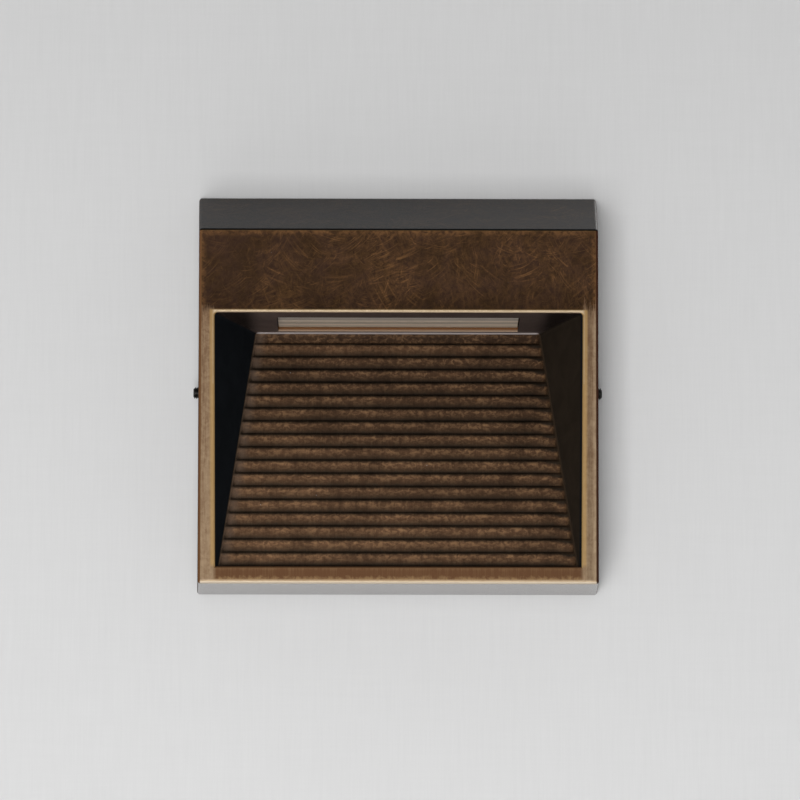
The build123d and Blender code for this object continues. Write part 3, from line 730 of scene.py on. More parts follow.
    def blank(self, tree: GeometryTree) -> bpy.types.NodeSocket:
        """The plate before its ribs are cut, its ends level with the recess's ceiling and floor.

        Args:
            tree: the tree that it is built in.

        Returns:
            The closed mesh.
        """
        form = self.form
        lean, fall = -form.ramp_down.y, -form.ramp_down.z
        top_shear = -(lean - form.ceiling_slope * fall) / (fall + form.ceiling_slope * lean)
        foot_shear = -lean / fall
        foot_start = (form.ceiling_back - form.opening_low) / fall
        thickness = tree.size("Plate Thickness", self.thickness)
        cube = tree.add("GeometryNodeMeshCube", Size=(1.0, 1.0, 1.0)).outputs[0]
        u, v, w = tree.separate(tree.position())
        deep = tree.math("MULTIPLY", tree.math("ADD", w, 0.5), thickness)
        upper = tree.math("MULTIPLY", deep, tree.size("Top Shear", top_shear))
        lower = tree.math("ADD", tree.math("MULTIPLY", deep, tree.size("Foot Shear", foot_shear)),
                          tree.size("Foot Distance", foot_start))
        distance = tree.pick(tree.math("ADD", v, 0.5), upper, lower)
        frame_axes = [self.plane.col[number].to_3d() for number in range(3)]
        down = tree.vector_math("SCALE", tree.size("Plate Down", frame_axes[1]))
        inward = tree.vector_math("SCALE", tree.size("Plate Inward", frame_axes[2]))
        tree.feed(down.node.inputs["Scale"], distance)
        tree.feed(inward.node.inputs["Scale"], deep)
        centre = tree.vector_math("ADD", tree.vector_math("ADD", down, inward),
                                  tree.size("Plate Top", form.ramp_top))
        flat = tree.vector_math("ADD", down, tuple(form.ramp_top))
        _, y, z = tree.separate(flat)
        half = tree.math("ADD", self.half_width(tree, y, z), tree.size("Plate Margin", self.margin))
        side = tree.combine(tree.math("MULTIPLY", tree.math("MULTIPLY", u, 2.0), half))
        return tree.place(cube, tree.vector_math("ADD", centre, side))

    def lugs(self, tree: GeometryTree, radius: float) -> bpy.types.NodeSocket:
        """A cylinder of a radius through the plate at each screw of the CAD node."""
        turn = self.plane.to_euler()
        depth = 1.0 if radius > self.lug_hole else 3.0
        post = tree.add("GeometryNodeMeshCylinder", Vertices=48, Radius=radius,
                        Depth=self.thickness * depth).outputs[0]
        return tree.copied(post, tuple(turn))

    def build(self, material: bpy.types.Material, slot: str) -> bpy.types.Object:
        """Builds the ramp and puts it in the CAD node's place.

        Args:
            material: the ramp's finish.
            slot: the record's material slot; not used.

        Returns:
            The finished piece.
        """
        inward = self.plane.col[2].to_3d()
        seats, _ = PanScrews("reflector_screws", "housing", inward).seats()
        middles = [seat - inward * self.thickness / 2 for seat in seats]
        tree = GeometryTree("ribbed_ramp_tree")
        lugs = tree.add("GeometryNodeRealizeInstances",
                        Geometry=self.lugs(tree, self.lug_radius)).outputs[0]
        holes = tree.add("GeometryNodeRealizeInstances", Geometry=self.lugs(tree, self.lug_hole)).outputs[0]
        plate = tree.solid("UNION", self.blank(tree), lugs)
        ribbed = tree.solid("DIFFERENCE", plate, self.space(tree))
        drilled = tree.solid("DIFFERENCE", ribbed, holes)
        shaded = tree.creased(drilled, 40.0)
        piece = tree.mesh("ribbed_ramp", tree.painted(shaded, "Finish", material), middles)
        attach(piece, "housing")
        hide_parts("ribbed_reflector")
        return piece


@dataclass
class SetScrew:
    """A threaded socket set screw in the housing's side."""

    node: str
    body: str
    radius: float = 1.95 * MM
    thread_depth: float = 0.3 * MM
    pitch: float = 0.7 * MM
    chamfer: float = 0.3 * MM
    socket_flats: float = 2.0 * MM
    socket_depth: float = 1.8 * MM
    bore_radius: float = 0.85 * MM
    bore_depth: float = 1.2 * MM
    plain_turns: float = 1.1
    thread_steps: int = 32
    sides: int = 48
    crease: float = 35.0

    def build(self, material: bpy.types.Material, slot: str) -> bpy.types.Object:
        """Builds the screw and puts it in the CAD node's place.

        Args:
            material: the screw's finish.
            slot: the record's material slot; not used.

        Returns:
            The finished piece.
        """
        low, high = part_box(self.node)
        outward = 1.0 if low.x > 0 else -1.0
        inner = Vector((low.x if outward > 0 else high.x, (low.y + high.y) / 2, (low.z + high.z) / 2))
        tree = GeometryTree(self.node + "_tree")
        root = tree.size("Root Radius", self.radius - self.thread_depth)
        length = tree.size("Length", high.x - low.x)
        chamfer = tree.size("Chamfer", self.chamfer)
        pitch = tree.size("Thread Pitch", self.pitch)
        bore = tree.size("Bore Radius", self.bore_radius)
        bore_depth = tree.size("Bore Depth", self.bore_depth)
        waist = tree.math("SUBTRACT", root, chamfer)
        corners = [
            tree.combine(0.0, 0.0, length),
            tree.combine(waist, 0.0, length),
            tree.combine(root, 0.0, tree.math("SUBTRACT", length, chamfer)),
            tree.combine(root, 0.0, chamfer),
            tree.combine(waist, 0.0, 0.0),
            tree.combine(bore, 0.0, 0.0),
            tree.combine(bore, 0.0, bore_depth),
            tree.combine(0.0, 0.0, bore_depth),
        ]
        profile = tree.polyline(len(corners), tree.chosen(corners))
        body = tree.revolved(profile, tree.size("Segments", self.sides))
        socket_radius = tree.size("Socket Corner Radius", self.socket_flats / math.sqrt(3))
        socket_depth = tree.size("Socket Depth", self.socket_depth)
        key = tree.add("GeometryNodeMeshCylinder", Vertices=6, Radius=socket_radius,
                       Depth=tree.math("MULTIPLY", socket_depth, 2.0)).outputs[0]
        key = tree.add("GeometryNodeTransform", Geometry=key,
                       Translation=tree.combine(0.0, 0.0, length)).outputs[0]
        socketed = tree.solid("DIFFERENCE", body, key)
        ends = tree.math("MULTIPLY", pitch, self.plain_turns)
        run = tree.math("SUBTRACT", length, ends)
        thread = tree.thread(root, tree.size("Thread Depth", self.thread_depth),
                             tree.math("DIVIDE", run, pitch), run, tree.math("MULTIPLY", ends, 0.5),
                             self.thread_steps)
        screw = tree.marked(tree.creased(tree.join(socketed, thread), self.crease))
        aim = tree.add("FunctionNodeAlignRotationToVector", {"axis": "Z"},
                       Vector=tree.size("Outward", Vector((outward, 0, 0)))).outputs[0]
        copies = tree.copied(screw, aim)
        piece = tree.mesh(self.node + "_threaded", tree.painted(copies, "Finish", material), [inner])
        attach(piece, self.body)
        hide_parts(self.node)
        return piece


class Effect(NodeGraph):
    """A shader node group with named inputs and outputs, built once and placed in many finishes."""

    def __init__(self, name: str) -> None:
        """Makes the empty group."""
        super().__init__(bpy.data.node_groups.new(name, "ShaderNodeTree"))
        self.entry = self.tree.nodes.new("NodeGroupInput")
        self.exit = self.tree.nodes.new("NodeGroupOutput")

    def take(self, name: str, value: float | Vector) -> bpy.types.NodeSocket:
        """Adds a named input with a default value."""
        kind = "NodeSocketVector" if isinstance(value, Vector) else "NodeSocketFloat"
        made = self.tree.interface.new_socket(name, in_out="INPUT", socket_type=kind)
        made.default_value = value
        return self.entry.outputs[name]

    def give(self, name: str, result: bpy.types.NodeSocket) -> None:
        """Adds a named output that puts out a number or a vector."""
        kind = "NodeSocketVector" if result.type == "VECTOR" else "NodeSocketFloat"
        self.tree.interface.new_socket(name, in_out="OUTPUT", socket_type=kind)
        self.tree.links.new(result, self.exit.inputs[name])

    def noise(self, place: Any, detail: float = 2.0, roughness: float = 0.5) -> bpy.types.NodeSocket:
        """Noise whose features are about one unit of the given coordinate."""
        return self.add("ShaderNodeTexNoise", Vector=place, Scale=1.0, Detail=detail,
                        Roughness=roughness).outputs[0]

    def scaled(self, place: Any, size: Any) -> bpy.types.NodeSocket:
        """A coordinate divided by a size."""
        node = self.vector_math("SCALE", place)
        self.feed(node.node.inputs["Scale"], self.math("DIVIDE", 1.0, size))
        return node


@cache
def flat_coordinates() -> bpy.types.NodeTree:
    """Group that lays a flat coordinate on each face of a boxy part, from its place and normal.

    Returns:
        The group.
    """
    group = Effect("flat_coordinates")
    x, y, z = group.separate(group.take("Place", Vector()))
    normal = group.vector_math("ABSOLUTE", group.take("Normal", Vector()))
    nx, ny, nz = group.separate(normal)
    sideways = group.product(group.math("GREATER_THAN", nx, ny), group.math("GREATER_THAN", nx, nz))
    level = group.product(group.math("GREATER_THAN", nz, ny), group.rest(sideways))
    across = group.pick(sideways, x, y)
    along = group.pick(level, z, y)
    group.give("Flat", group.combine(across, along, 0.0))
    return group.tree


@cache
def brushed_arcs() -> bpy.types.NodeTree:
    """Group that draws overlapping arcs of fine scratches, as brushing by hand leaves them.

    Returns:
        The group.
    """
    group = Effect("brushed_arcs")
    middle = (0.5, 0.5, 0.5)
    centre_reach = 3.0
    line_edge = 0.78
    line_full = 0.8
    edge_shift = 0.3
    fade_border = (0.8, 0.25)
    strengths = (0.15, 0.9, 0.15, 1.0)
    seed_step = 40.0
    layers = ((0.0, 0.0, 0.0), (37.3, 11.9, 0.0), (83.1, 59.7, 0.0), (151.9, 97.3, 0.0))
    flat = group.take("Flat", Vector())
    patch = group.take("Patch Size", 9.0)
    spacing = group.take("Line Spacing", 0.3)
    length = group.take("Line Length", 6.0)
    reach = group.take("Arc Radius", 14.0)
    amount = group.take("Amount", 0.5)
    total = None
    for layer, shift in enumerate(layers):
        shifted = group.vector_math("ADD", flat, shift)
        cells = group.add("ShaderNodeTexVoronoi", {"voronoi_dimensions": "2D"},
                          Vector=group.scaled(shifted, patch), Scale=1.0)
        chance = group.vector_math("SUBTRACT", cells.outputs["Color"], middle)
        offset = group.vector_math("SCALE", chance)
        group.feed(offset.node.inputs["Scale"], group.math("MULTIPLY", reach, centre_reach))
        centre = group.vector_math("SCALE", cells.outputs["Position"])
        group.feed(centre.node.inputs["Scale"], patch)
        away = group.vector_math("SUBTRACT", shifted, group.vector_math("ADD", centre, offset))
        dx, dy, _ = group.separate(away)
        radius = group.math("SQRT", group.math("ADD", group.product(dx, dx), group.product(dy, dy)))
        turn = group.math("ARCTAN2", dy, dx)
        along = group.math("DIVIDE", group.product(turn, reach), length)
        red, green, _ = group.separate(cells.outputs["Color"])
        lines = group.noise(group.combine(group.math("DIVIDE", radius, spacing), along,
                                          group.product(red, seed_step)), 1.0)
        start = group.math("SUBTRACT", line_edge, group.product(amount, edge_shift))
        lines = group.remap(lines, start, line_full)
        fade = group.remap(cells.outputs["Distance"], *fade_border, smooth=True)
        strength = group.remap(green, *strengths)
        drawn = group.product(lines, fade, strength)
        total = drawn if layer == 0 else group.math("MAXIMUM", total, drawn)
    group.give("Mask", total)
    return group.tree


@cache
def straight_brushing() -> bpy.types.NodeTree:
    """Group that draws long fine lines along the second axis of a flat coordinate.

    Returns:
        The group.
    """
    group = Effect("straight_brushing")
    fine_share = 0.6
    broad_share = 0.4
    broad_spacing = 4.0
    broad_length = 2.0
    contrast = (0.36, 0.64)
    across, along, _ = group.separate(group.take("Flat", Vector()))
    spacing = group.take("Line Spacing", 0.35)
    length = group.take("Line Length", 9.0)
    fine = group.noise(group.combine(group.math("DIVIDE", across, spacing),
                                     group.math("DIVIDE", along, length), 0.0), 2.0)
    wide = group.math("DIVIDE", across, group.product(spacing, broad_spacing))
    long = group.math("DIVIDE", along, group.product(length, broad_length))
    broad = group.noise(group.combine(wide, long, 7.0), 2.0)
    mixed = group.math("ADD", group.product(fine, fine_share), group.product(broad, broad_share))
    group.give("Mask", group.remap(mixed, *contrast))
    return group.tree


@cache
def patina_clouds() -> bpy.types.NodeTree:
    """Group that gives soft uneven patches with ragged borders.

    Returns:
        The group.
    """
    group = Effect("patina_clouds")
    contrast = (0.32, 0.68)
    place = group.take("Place", Vector())
    size = group.take("Patch Size", 12.0)
    ragged = group.add("ShaderNodeTexNoise", Vector=group.scaled(place, size), Scale=1.0, Detail=6.0,
                       Roughness=0.62, Distortion=0.6).outputs[0]
    group.give("Mask", group.remap(ragged, *contrast, smooth=True))
    return group.tree


@cache
def fine_grain() -> bpy.types.NodeTree:
    """Group that gives an even fine grain, as of a cast, blasted or moulded surface.

    Returns:
        The group.
    """
    group = Effect("fine_grain")
    contrast = (0.3, 0.7)
    dent_spacing = 4.0
    dent_border = 0.35
    grain_share = 0.7
    dent_share = 0.3
    place = group.take("Place", Vector())
    size = group.take("Grain Size", 0.35)
    grain = group.noise(group.scaled(place, size), 3.0, 0.6)
    pits = group.add("ShaderNodeTexVoronoi", Vector=group.scaled(place, group.product(size, dent_spacing)),
                     Scale=1.0)
    dents = group.remap(pits.outputs["Distance"], 0.0, dent_border)
    group.give("Mask", group.remap(grain, *contrast))
    height = group.math("ADD", group.product(grain, grain_share), group.product(dents, dent_share))
    group.give("Height", height)
    return group.tree


@cache
def settled_dust() -> bpy.types.NodeTree:
    """Group that scatters single specks of dust and a faint film.

    Returns:
        The group.
    """
    group = Effect("settled_dust")
    core_share = 0.4
    film_border = (0.45, 0.75)
    place = group.take("Place", Vector())
    cell = group.take("Cell Size", 5.0)
    share = group.take("Share", 0.1)
    size = group.take("Speck Size", 0.2)
    cells = group.add("ShaderNodeTexVoronoi", Vector=group.scaled(place, cell), Scale=1.0)
    chance, _, _ = group.separate(cells.outputs["Color"])
    chosen = group.math("LESS_THAN", chance, share)
    reach = group.product(cells.outputs["Distance"], cell)
    speck = group.remap(reach, size, group.product(size, core_share))
    film = group.noise(group.scaled(place, cell), 4.0, 0.6)
    group.give("Specks", group.product(chosen, speck))
    group.give("Film", group.remap(film, *film_border))
    return group.tree


@cache
def worn_edges() -> bpy.types.NodeTree:
    """Group that finds the edges of a part by how its normal turns within a small radius.

    Returns:
        The group.
    """
    group = Effect("worn_edges")
    fray_size = 1.3
    fray_depth = 0.12
    full_turn = 0.08
    place = group.take("Place", Vector())
    radius = group.take("Radius", 0.4 * MM)
    rounded = group.add("ShaderNodeBevel", {"samples": 4}, Radius=radius).outputs[0]
    plain = group.add("ShaderNodeNewGeometry").outputs["True Normal"]
    agree = group.vector_math("DOT_PRODUCT", rounded, plain)
    ragged = group.noise(group.scaled(place, fray_size), 4.0, 0.6)
    edge = group.math("SUBTRACT", group.rest(agree), group.product(ragged, fray_depth))
    group.give("Mask", group.remap(edge, 0.0, full_turn))
    return group.tree


@cache
def zinc_spangle() -> bpy.types.NodeTree:
    """Group that gives the crystal patches of a zinc coat.

    Returns:
        The group.
    """
    group = Effect("zinc_spangle")
    bend = 0.5
    bend_spacing = 1.5
    place = group.take("Place", Vector())
    size = group.take("Crystal Size", 3.0)
    warp = group.scaled(place, size)
    drift = group.add("ShaderNodeTexNoise", Vector=warp, Scale=bend_spacing).outputs["Color"]
    bent = group.vector_math("SCALE", drift)
    group.feed(bent.node.inputs["Scale"], bend)
    cells = group.add("ShaderNodeTexVoronoi", Vector=group.vector_math("ADD", warp, bent), Scale=1.0)
    shade, _, _ = group.separate(cells.outputs["Color"])
    group.give("Mask", shade)
    return group.tree


@cache
def turned_rings() -> bpy.types.NodeTree:
    """Group that gives the fine rings that a lathe leaves round a screw's own axis.

    Returns:
        The group.
    """
    group = Effect("turned_rings")
    contrast = (0.3, 0.7)
    place = group.add("ShaderNodeAttribute", {"attribute_name": LOCAL_PLACE}).outputs["Vector"]
    x, y, z = group.separate(place)
    spacing = group.take("Line Spacing", 0.08)
    radius = group.math("SQRT", group.math("ADD", group.product(x, x), group.product(y, y)))
    rings = group.noise(group.combine(group.math("DIVIDE", radius, spacing),
                                      group.math("DIVIDE", z, spacing), 0.0), 1.0)
    group.give("Mask", group.remap(rings, *contrast))
    group.give("Radius", radius)
    group.give("Height", z)
    return group.tree


class Surface(NodeGraph):
    """One material: its Principled BSDF, the places on the part in millimetres, and the mixing of colours."""

    def __init__(self, name: str, **plain: float) -> None:
        """Makes the material.

        Args:
            name: the material's name.
            plain: values of the shader's own sockets that are the same all over, with underscores for spaces.
        """
        self.material = bpy.data.materials.new(name)
        self.material.use_nodes = True
        super().__init__(self.material.node_tree)
        self.tree.nodes.clear()
        self.shader = self.add("ShaderNodeBsdfPrincipled", None, **plain)
        ending = self.tree.nodes.new("ShaderNodeOutputMaterial")
        self.tree.links.new(self.shader.outputs[0], ending.inputs["Surface"])
        coordinates = self.tree.nodes.new("ShaderNodeTexCoord")
        self.place = self.vector_math("SCALE", coordinates.outputs["Object"])
        self.feed(self.place.node.inputs["Scale"], 1 / MM)
        self.normal = coordinates.outputs["Normal"]

    def effect(self, group: bpy.types.NodeTree, **inputs: Any) -> bpy.types.Node:
        """Places an effect group and sets its named inputs."""
        return self.add("ShaderNodeGroup", {"node_tree": group}, **inputs)

    def blend(self, share: Any, colour: Any, other: Any) -> bpy.types.NodeSocket:
        """Mixes two colours by a share of the second."""
        node = self.add("ShaderNodeMix", {"data_type": "RGBA", "clamp_factor": True})
        for socket, value in zip((node.inputs[0], node.inputs[6], node.inputs[7]), (share, colour, other)):
            self.feed(socket, (*value, 1.0) if isinstance(value, tuple) else value)
        return node.outputs[2]

    def shaded(self, colour: Any, value: Any) -> bpy.types.NodeSocket:
        """Multiplies a colour by a number."""
        node = self.vector_math("SCALE", colour)
        self.feed(node.node.inputs["Scale"], value)
        return node

    def set(self, **values: Any) -> None:
        """Feeds the shader's named inputs."""
        for key, value in values.items():
            self.feed(self.shader.inputs[key.replace("_", " ")], value)

    def relief(self, height: Any, distance: float, strength: float = 1.0) -> None:
        """Raises the surface's shading by a height times a distance in millimetres."""
        bump = self.add("ShaderNodeBump", None, Strength=strength, Distance=distance * MM, Height=height)
        self.feed(self.shader.inputs["Normal"], bump.outputs[0])


@dataclass(frozen=True)
class BronzeFrame:
    """Hand-brushed dark bronze, worn to tan on the stiles, brown on the rail and gold along the edges. The
    gold edges and the stiles' paling downwards are wear and partly painted light; upward faces, the
    right-hand edges and the left recess wall carry painted shade, and the recess ceiling carries painted
    light and reflection.
    """

    form: CastForm
    patina: Colour = (0.0270, 0.0150, 0.0078)
    purple: Colour = (0.0320, 0.0175, 0.0118)
    scratch: Colour = (0.1750, 0.0860, 0.0340)
    stile_brown: Colour = (0.1150, 0.0640, 0.0350)
    stile_tan: Colour = (0.2450, 0.1740, 0.1080)
    rail_brown: Colour = (0.0880, 0.0430, 0.0210)
    rail_tan: Colour = (0.1900, 0.1180, 0.0580)
    rim_orange: Colour = (0.1600, 0.0780, 0.0310)
    left_edge: Colour = (0.1500, 0.0700, 0.0300)
    shaded_right_edge: Colour = (0.0480, 0.0180, 0.0100)
    edge_gold_and_highlight: Colour = (0.4200, 0.3300, 0.2250)
    foot_pale_highlight: Colour = (0.6200, 0.5200, 0.4000)
    inner_gold_and_highlight: Colour = (0.3000, 0.1900, 0.0750)
    red_dark: Colour = (0.1400, 0.0560, 0.0420)
    top_painted_shade: Colour = (0.0050, 0.0048, 0.0046)
    shaded_inside_left: Colour = (0.0093, 0.0110, 0.0130)
    lit_inside_right: Colour = (0.0257, 0.0190, 0.0134)
    ceiling: Colour = (0.1220, 0.0900, 0.0780)
    window_brown: Colour = (0.1300, 0.0600, 0.0260)
    window_gold: Colour = (0.2800, 0.2000, 0.1400)
    dust: Colour = (0.3500, 0.3100, 0.2700)
    glance: tuple[float, ...] = (0.3000, 0.2400, 0.2000, 1.0)
    coat_rough: float = 0.13
    coat_index: float = 1.5
    plain_level: float = 0.02
    top_turn: Span = (0.3, 0.8)
    side_scratches: float = 0.5
    dust_cell: float = 7.0
    dust_share: float = 0.10
    dust_size: float = 0.25
    dust_strength: float = 0.25
    stile_wear: float = 0.5
    scratch_wear: float = 0.4
    foot_turn: Span = (-0.3, -0.6)
    plain_coat: float = 0.2
    foot_coat: float = 0.9
    coat_turn: Span = (0.97, 0.5)
    side_turn: Span = (0.7, 0.9)
    rough: Span = (0.42, 0.56)
    side_rough: float = 0.3
    metal: Span = (0.15, 0.5)
    cast_relief: float = 0.35
    brush_relief: float = 0.5
    relief: float = 0.015
    fine_spacing: float = 0.4
    fine_length: float = 7.0
    fine_amount: float = 0.62
    wide_shift: Colour = (310.0, 170.0, 0.0)
    wide_patch: float = 13.0
    wide_spacing: float = 0.9
    wide_length: float = 10.0
    wide_radius: float = 20.0
    wide_amount: float = 0.8
    cloud_patch: float = 9.0
    mottle_patch: float = 1.7
    broad_shift: Colour = (50.0, 0.0, 20.0)
    broad_patch: float = 26.0
    grain_size: float = 0.3
    fine_cover: float = 0.68
    wide_cover: float = 0.48
    broad_cover: Span = (0.45, 1.0)
    mottle_cover: Span = (0.06, 0.26)
    grain_cover: Span = (0.55, 1.3)
    face_start: float = 1.3
    face_full: float = 0.3
    face_turn: Span = (0.95, 0.995)
    lip_start: float = 2.2
    lip_full: float = 1.2
    lip_turn: Span = (0.06, 0.35)
    lip_end: Span = (0.998, 0.95)
    stile_border: Span = (-0.2, 0.8)
    bar_fray: Span = (2.5, 9.0)
    bar_below: float = 0.8
    bar_above: float = 2.6
    rail_above: float = 0.9
    rail_full: float = 0.3
    rail_end: Span = (1.2, -0.6)
    bar_gold: Span = (0.95, 0.6)
    inner_border: Span = (1.8, 1.1)
    inner_top: float = 1.2
    inner_below: float = 0.6
    inner_foot: float = 0.4
    inner_above: float = 0.8
    inner_share: float = 0.7
    foot_gold: Span = (1.5, 0.7)
    side_gold: Span = (1.9, 1.3)
    border_top: float = 2.0
    border_full: float = 2.0
    border_share: float = 0.2
    gold_mottle: Span = (0.7, 1.0)
    inside_border: Span = (0.7, 0.5)
    inside_over: float = 0.4
    window_over: float = 0.4
    window_below: float = 0.3
    window_depth: float = 8.0
    window_top: float = 4.0
    shade_low: float = 0.5
    shade_high: float = 11.0
    bar_shade: Span = (0.68, 1.0)
    rim_border: Span = (2.8, 0.9)
    rim_mottle: Span = (0.1, 0.65)
    rim_clouds: Span = (0.4, 1.0)
    stile_wear_and_light: Span = (0.72, 0.34)
    stile_streaks: float = 0.5
    stile_spots: float = 0.4
    stile_middle: float = 2.9
    stile_core: Span = (1.5, 0.4)
    core_shade: Span = (1.0, 0.8)
    outer_line: Span = (0.65, 0.35)
    outer_share: float = 0.75
    rail_fray: float = 1.2
    rail_worn: Span = (2.5, 1.1)
    rail_top: Span = (4.0, 5.6)
    rail_top_share: float = 0.3
    rail_streaks: float = 0.35
    wall_clouds: Span = (0.9, 1.15)
    ceiling_turn: Span = (-0.5, -0.9)
    lit_border: Span = (5.0, 11.0)
    lit_fade: Span = (1.0, 0.22)
    ceiling_clouds: Span = (0.85, 1.1)
    ceiling_light_left_right: Span = (1.08, 0.85)
    reveal_turn: Span = (-0.5, -0.9)
    reveal_depth: float = 15.0
    reveal_worn: float = 1.0
    reveal_full: float = 0.3
    outward_turn: Span = (4.0, 16.0)
    inner_turn: Span = (0.45, 0.8)
    upward_turn: Span = (0.1, 0.3)
    downward_turn: Span = (-0.1, -0.35)
    gold_turn: Span = (-0.84, -0.95)
    corner_turn: Span = (0.35, 0.15)
    rail_turn: Span = (0.1, 0.35)

    def build(self) -> bpy.types.Material:
        """Makes the material.

        Returns:
            The material.
        """
        look = Surface("bronze_frame", Coat_Roughness=self.coat_rough, Coat_IOR=self.coat_index,
                       Specular_IOR_Level=self.plain_level, Specular_Tint=self.glance)
        marks = self.marks(look)
        zones = self.zones(look, marks)
        inner = self.inside(look, marks)
        patina = look.blend(marks["clouds"], self.patina, self.purple)
        # Upward faces take a painted shade, as the light falls from below.
        patina = look.blend(look.remap(zones["nz"], *self.top_turn), patina, self.top_painted_shade)
        around = look.blend(look.product(marks["cover"], self.side_scratches), patina, self.scratch)
        colour = look.blend(zones["inside"], around, inner)
        fronts = look.blend(zones["bar"], self.stile(look, marks), self.bar(look, marks, patina))
        fronts = look.blend(zones["rail"], fronts, self.rail(look, marks))
        fronts = look.blend(zones["inner"], fronts, self.inner_gold_and_highlight)
        # The golden edges are wear and partly a painted highlight of the light from below.
        fronts = look.blend(zones["gold"], fronts, self.edge_gold_and_highlight)
        colour = look.blend(zones["face"], colour, fronts)
        colour = look.blend(zones["lip"], colour, self.lip(look))
        dust = look.effect(settled_dust(), Place=look.place, Cell_Size=self.dust_cell,
                           Share=self.dust_share, Speck_Size=self.dust_size)
        colour = look.blend(look.product(dust.outputs["Specks"], self.dust_strength), colour, self.dust)
        scratched = look.math("MAXIMUM", look.product(marks["cover"], self.scratch_wear), zones["gold"])
        wear = look.math("MAXIMUM", look.product(zones["face"], look.rest(zones["bar"]), self.stile_wear),
                         scratched)
        coat = look.pick(look.remap(zones["nz"], *self.foot_turn), self.plain_coat, self.foot_coat)
        coat = look.product(coat, look.remap(zones["facing"], *self.coat_turn), look.rest(zones["inside"]))
        sideways = look.remap(look.math("ABSOLUTE", look.separate(look.normal)[0]), *self.side_turn)
        coat = look.product(coat, look.rest(sideways))
        rough = look.math("ADD", look.vary(marks["grain"], *self.rough),
                          look.product(sideways, self.side_rough))
        metal = look.product(look.vary(wear, *self.metal), look.rest(sideways))
        look.set(Base_Color=colour, Metallic=metal, Roughness=rough, Coat_Weight=coat)
        brushed = look.product(marks["brushing"], zones["face"], self.brush_relief)
        height = look.math("SUBTRACT", look.product(marks["height"], self.cast_relief),
                           look.math("ADD", marks["arcs"], brushed))
        look.relief(height, self.relief)
        return look.material

    def marks(self, look: Surface) -> Masks:
        """The brushing, clouds and grain that the zones share.

        Args:
            look: the material being made.

        Returns:
            The masks by name.
        """
        x, _, z = look.separate(look.place)
        flat = look.effect(flat_coordinates(), Place=look.place, Normal=look.normal).outputs[0]
        arcs = look.effect(brushed_arcs(), Flat=flat, Line_Spacing=self.fine_spacing,
                           Line_Length=self.fine_length, Amount=self.fine_amount).outputs[0]
        aside = look.vector_math("ADD", flat, self.wide_shift)
        wide = look.effect(brushed_arcs(), Flat=aside, Patch_Size=self.wide_patch,
                           Line_Spacing=self.wide_spacing, Line_Length=self.wide_length,
                           Arc_Radius=self.wide_radius, Amount=self.wide_amount).outputs[0]
        clouds = look.effect(patina_clouds(), Place=look.place, Patch_Size=self.cloud_patch).outputs[0]
        mottle = look.effect(patina_clouds(), Place=look.place, Patch_Size=self.mottle_patch).outputs[0]
        apart = look.vector_math("ADD", look.place, self.broad_shift)
        broad = look.effect(patina_clouds(), Place=apart, Patch_Size=self.broad_patch).outputs[0]
        grain = look.effect(fine_grain(), Place=look.place, Grain_Size=self.grain_size)
        brushing = look.effect(straight_brushing(), Flat=look.combine(x, z, 0.0)).outputs[0]
        cover = look.math("ADD", look.product(arcs, self.fine_cover), look.product(wide, self.wide_cover))
        cover = look.product(cover, look.remap(broad, 0.0, 0.8, *self.broad_cover))
        cover = look.math("ADD", cover, look.product(mottle, look.vary(broad, *self.mottle_cover)))
        cover = look.product(cover, look.vary(grain.outputs["Mask"], *self.grain_cover))
        return {"arcs": arcs, "clouds": clouds, "mottle": mottle, "broad": broad, "brushing": brushing,
                "cover": cover, "grain": grain.outputs["Mask"], "height": grain.outputs["Height"]}

    def zones(self, look: Surface, marks: Masks) -> Masks:
        """Where the front face, its bar, rail, lips and golden edges are; the golden edges are wear and
        partly painted highlight.

        Args:
            look: the material being made.
            marks: the shared masks.

        Returns:
            The masks by name, with the normal's share towards the front and its height.
        """
        form = self.form
        x, y, z = look.separate(look.place)
        _, ny, nz = look.separate(look.normal)
        facing = look.math("MULTIPLY", ny, -1.0)
        side = look.math("ABSOLUTE", x)
        high, low = form.opening_high / MM, form.opening_low / MM
        front = -form.projection / MM
        near = look.remap(y, front + self.face_start, front + self.face_full)
        face = look.product(near, look.remap(facing, *self.face_turn))
        lip = look.product(look.remap(y, front + self.lip_start, front + self.lip_full),
                           look.remap(facing, *self.lip_turn),
                           look.remap(facing, *self.lip_end))
        lean = look.product(look.math("SUBTRACT", z, low), form.lean)
        past_opening = look.math("SUBTRACT", side, look.math("ADD", form.half_low / MM, lean))
        to_side = look.math("SUBTRACT", form.front_half / MM, side)
        in_stile = look.remap(past_opening, *self.stile_border)
        streak = look.product(look.centred(marks["brushing"]),
                              look.remap(x, 0.0, form.front_half / MM, *self.bar_fray))
        bar = look.remap(look.math("ADD", z, streak), high - self.bar_below, high + self.bar_above,
                         smooth=True)
        bar = look.math("MAXIMUM", bar, look.product(look.rest(in_stile),
                                                     look.math("GREATER_THAN", z, 0.0)))
        rail = look.product(look.remap(z, low + self.rail_above, low + self.rail_full),
                            look.remap(past_opening, *self.rail_end, smooth=True))
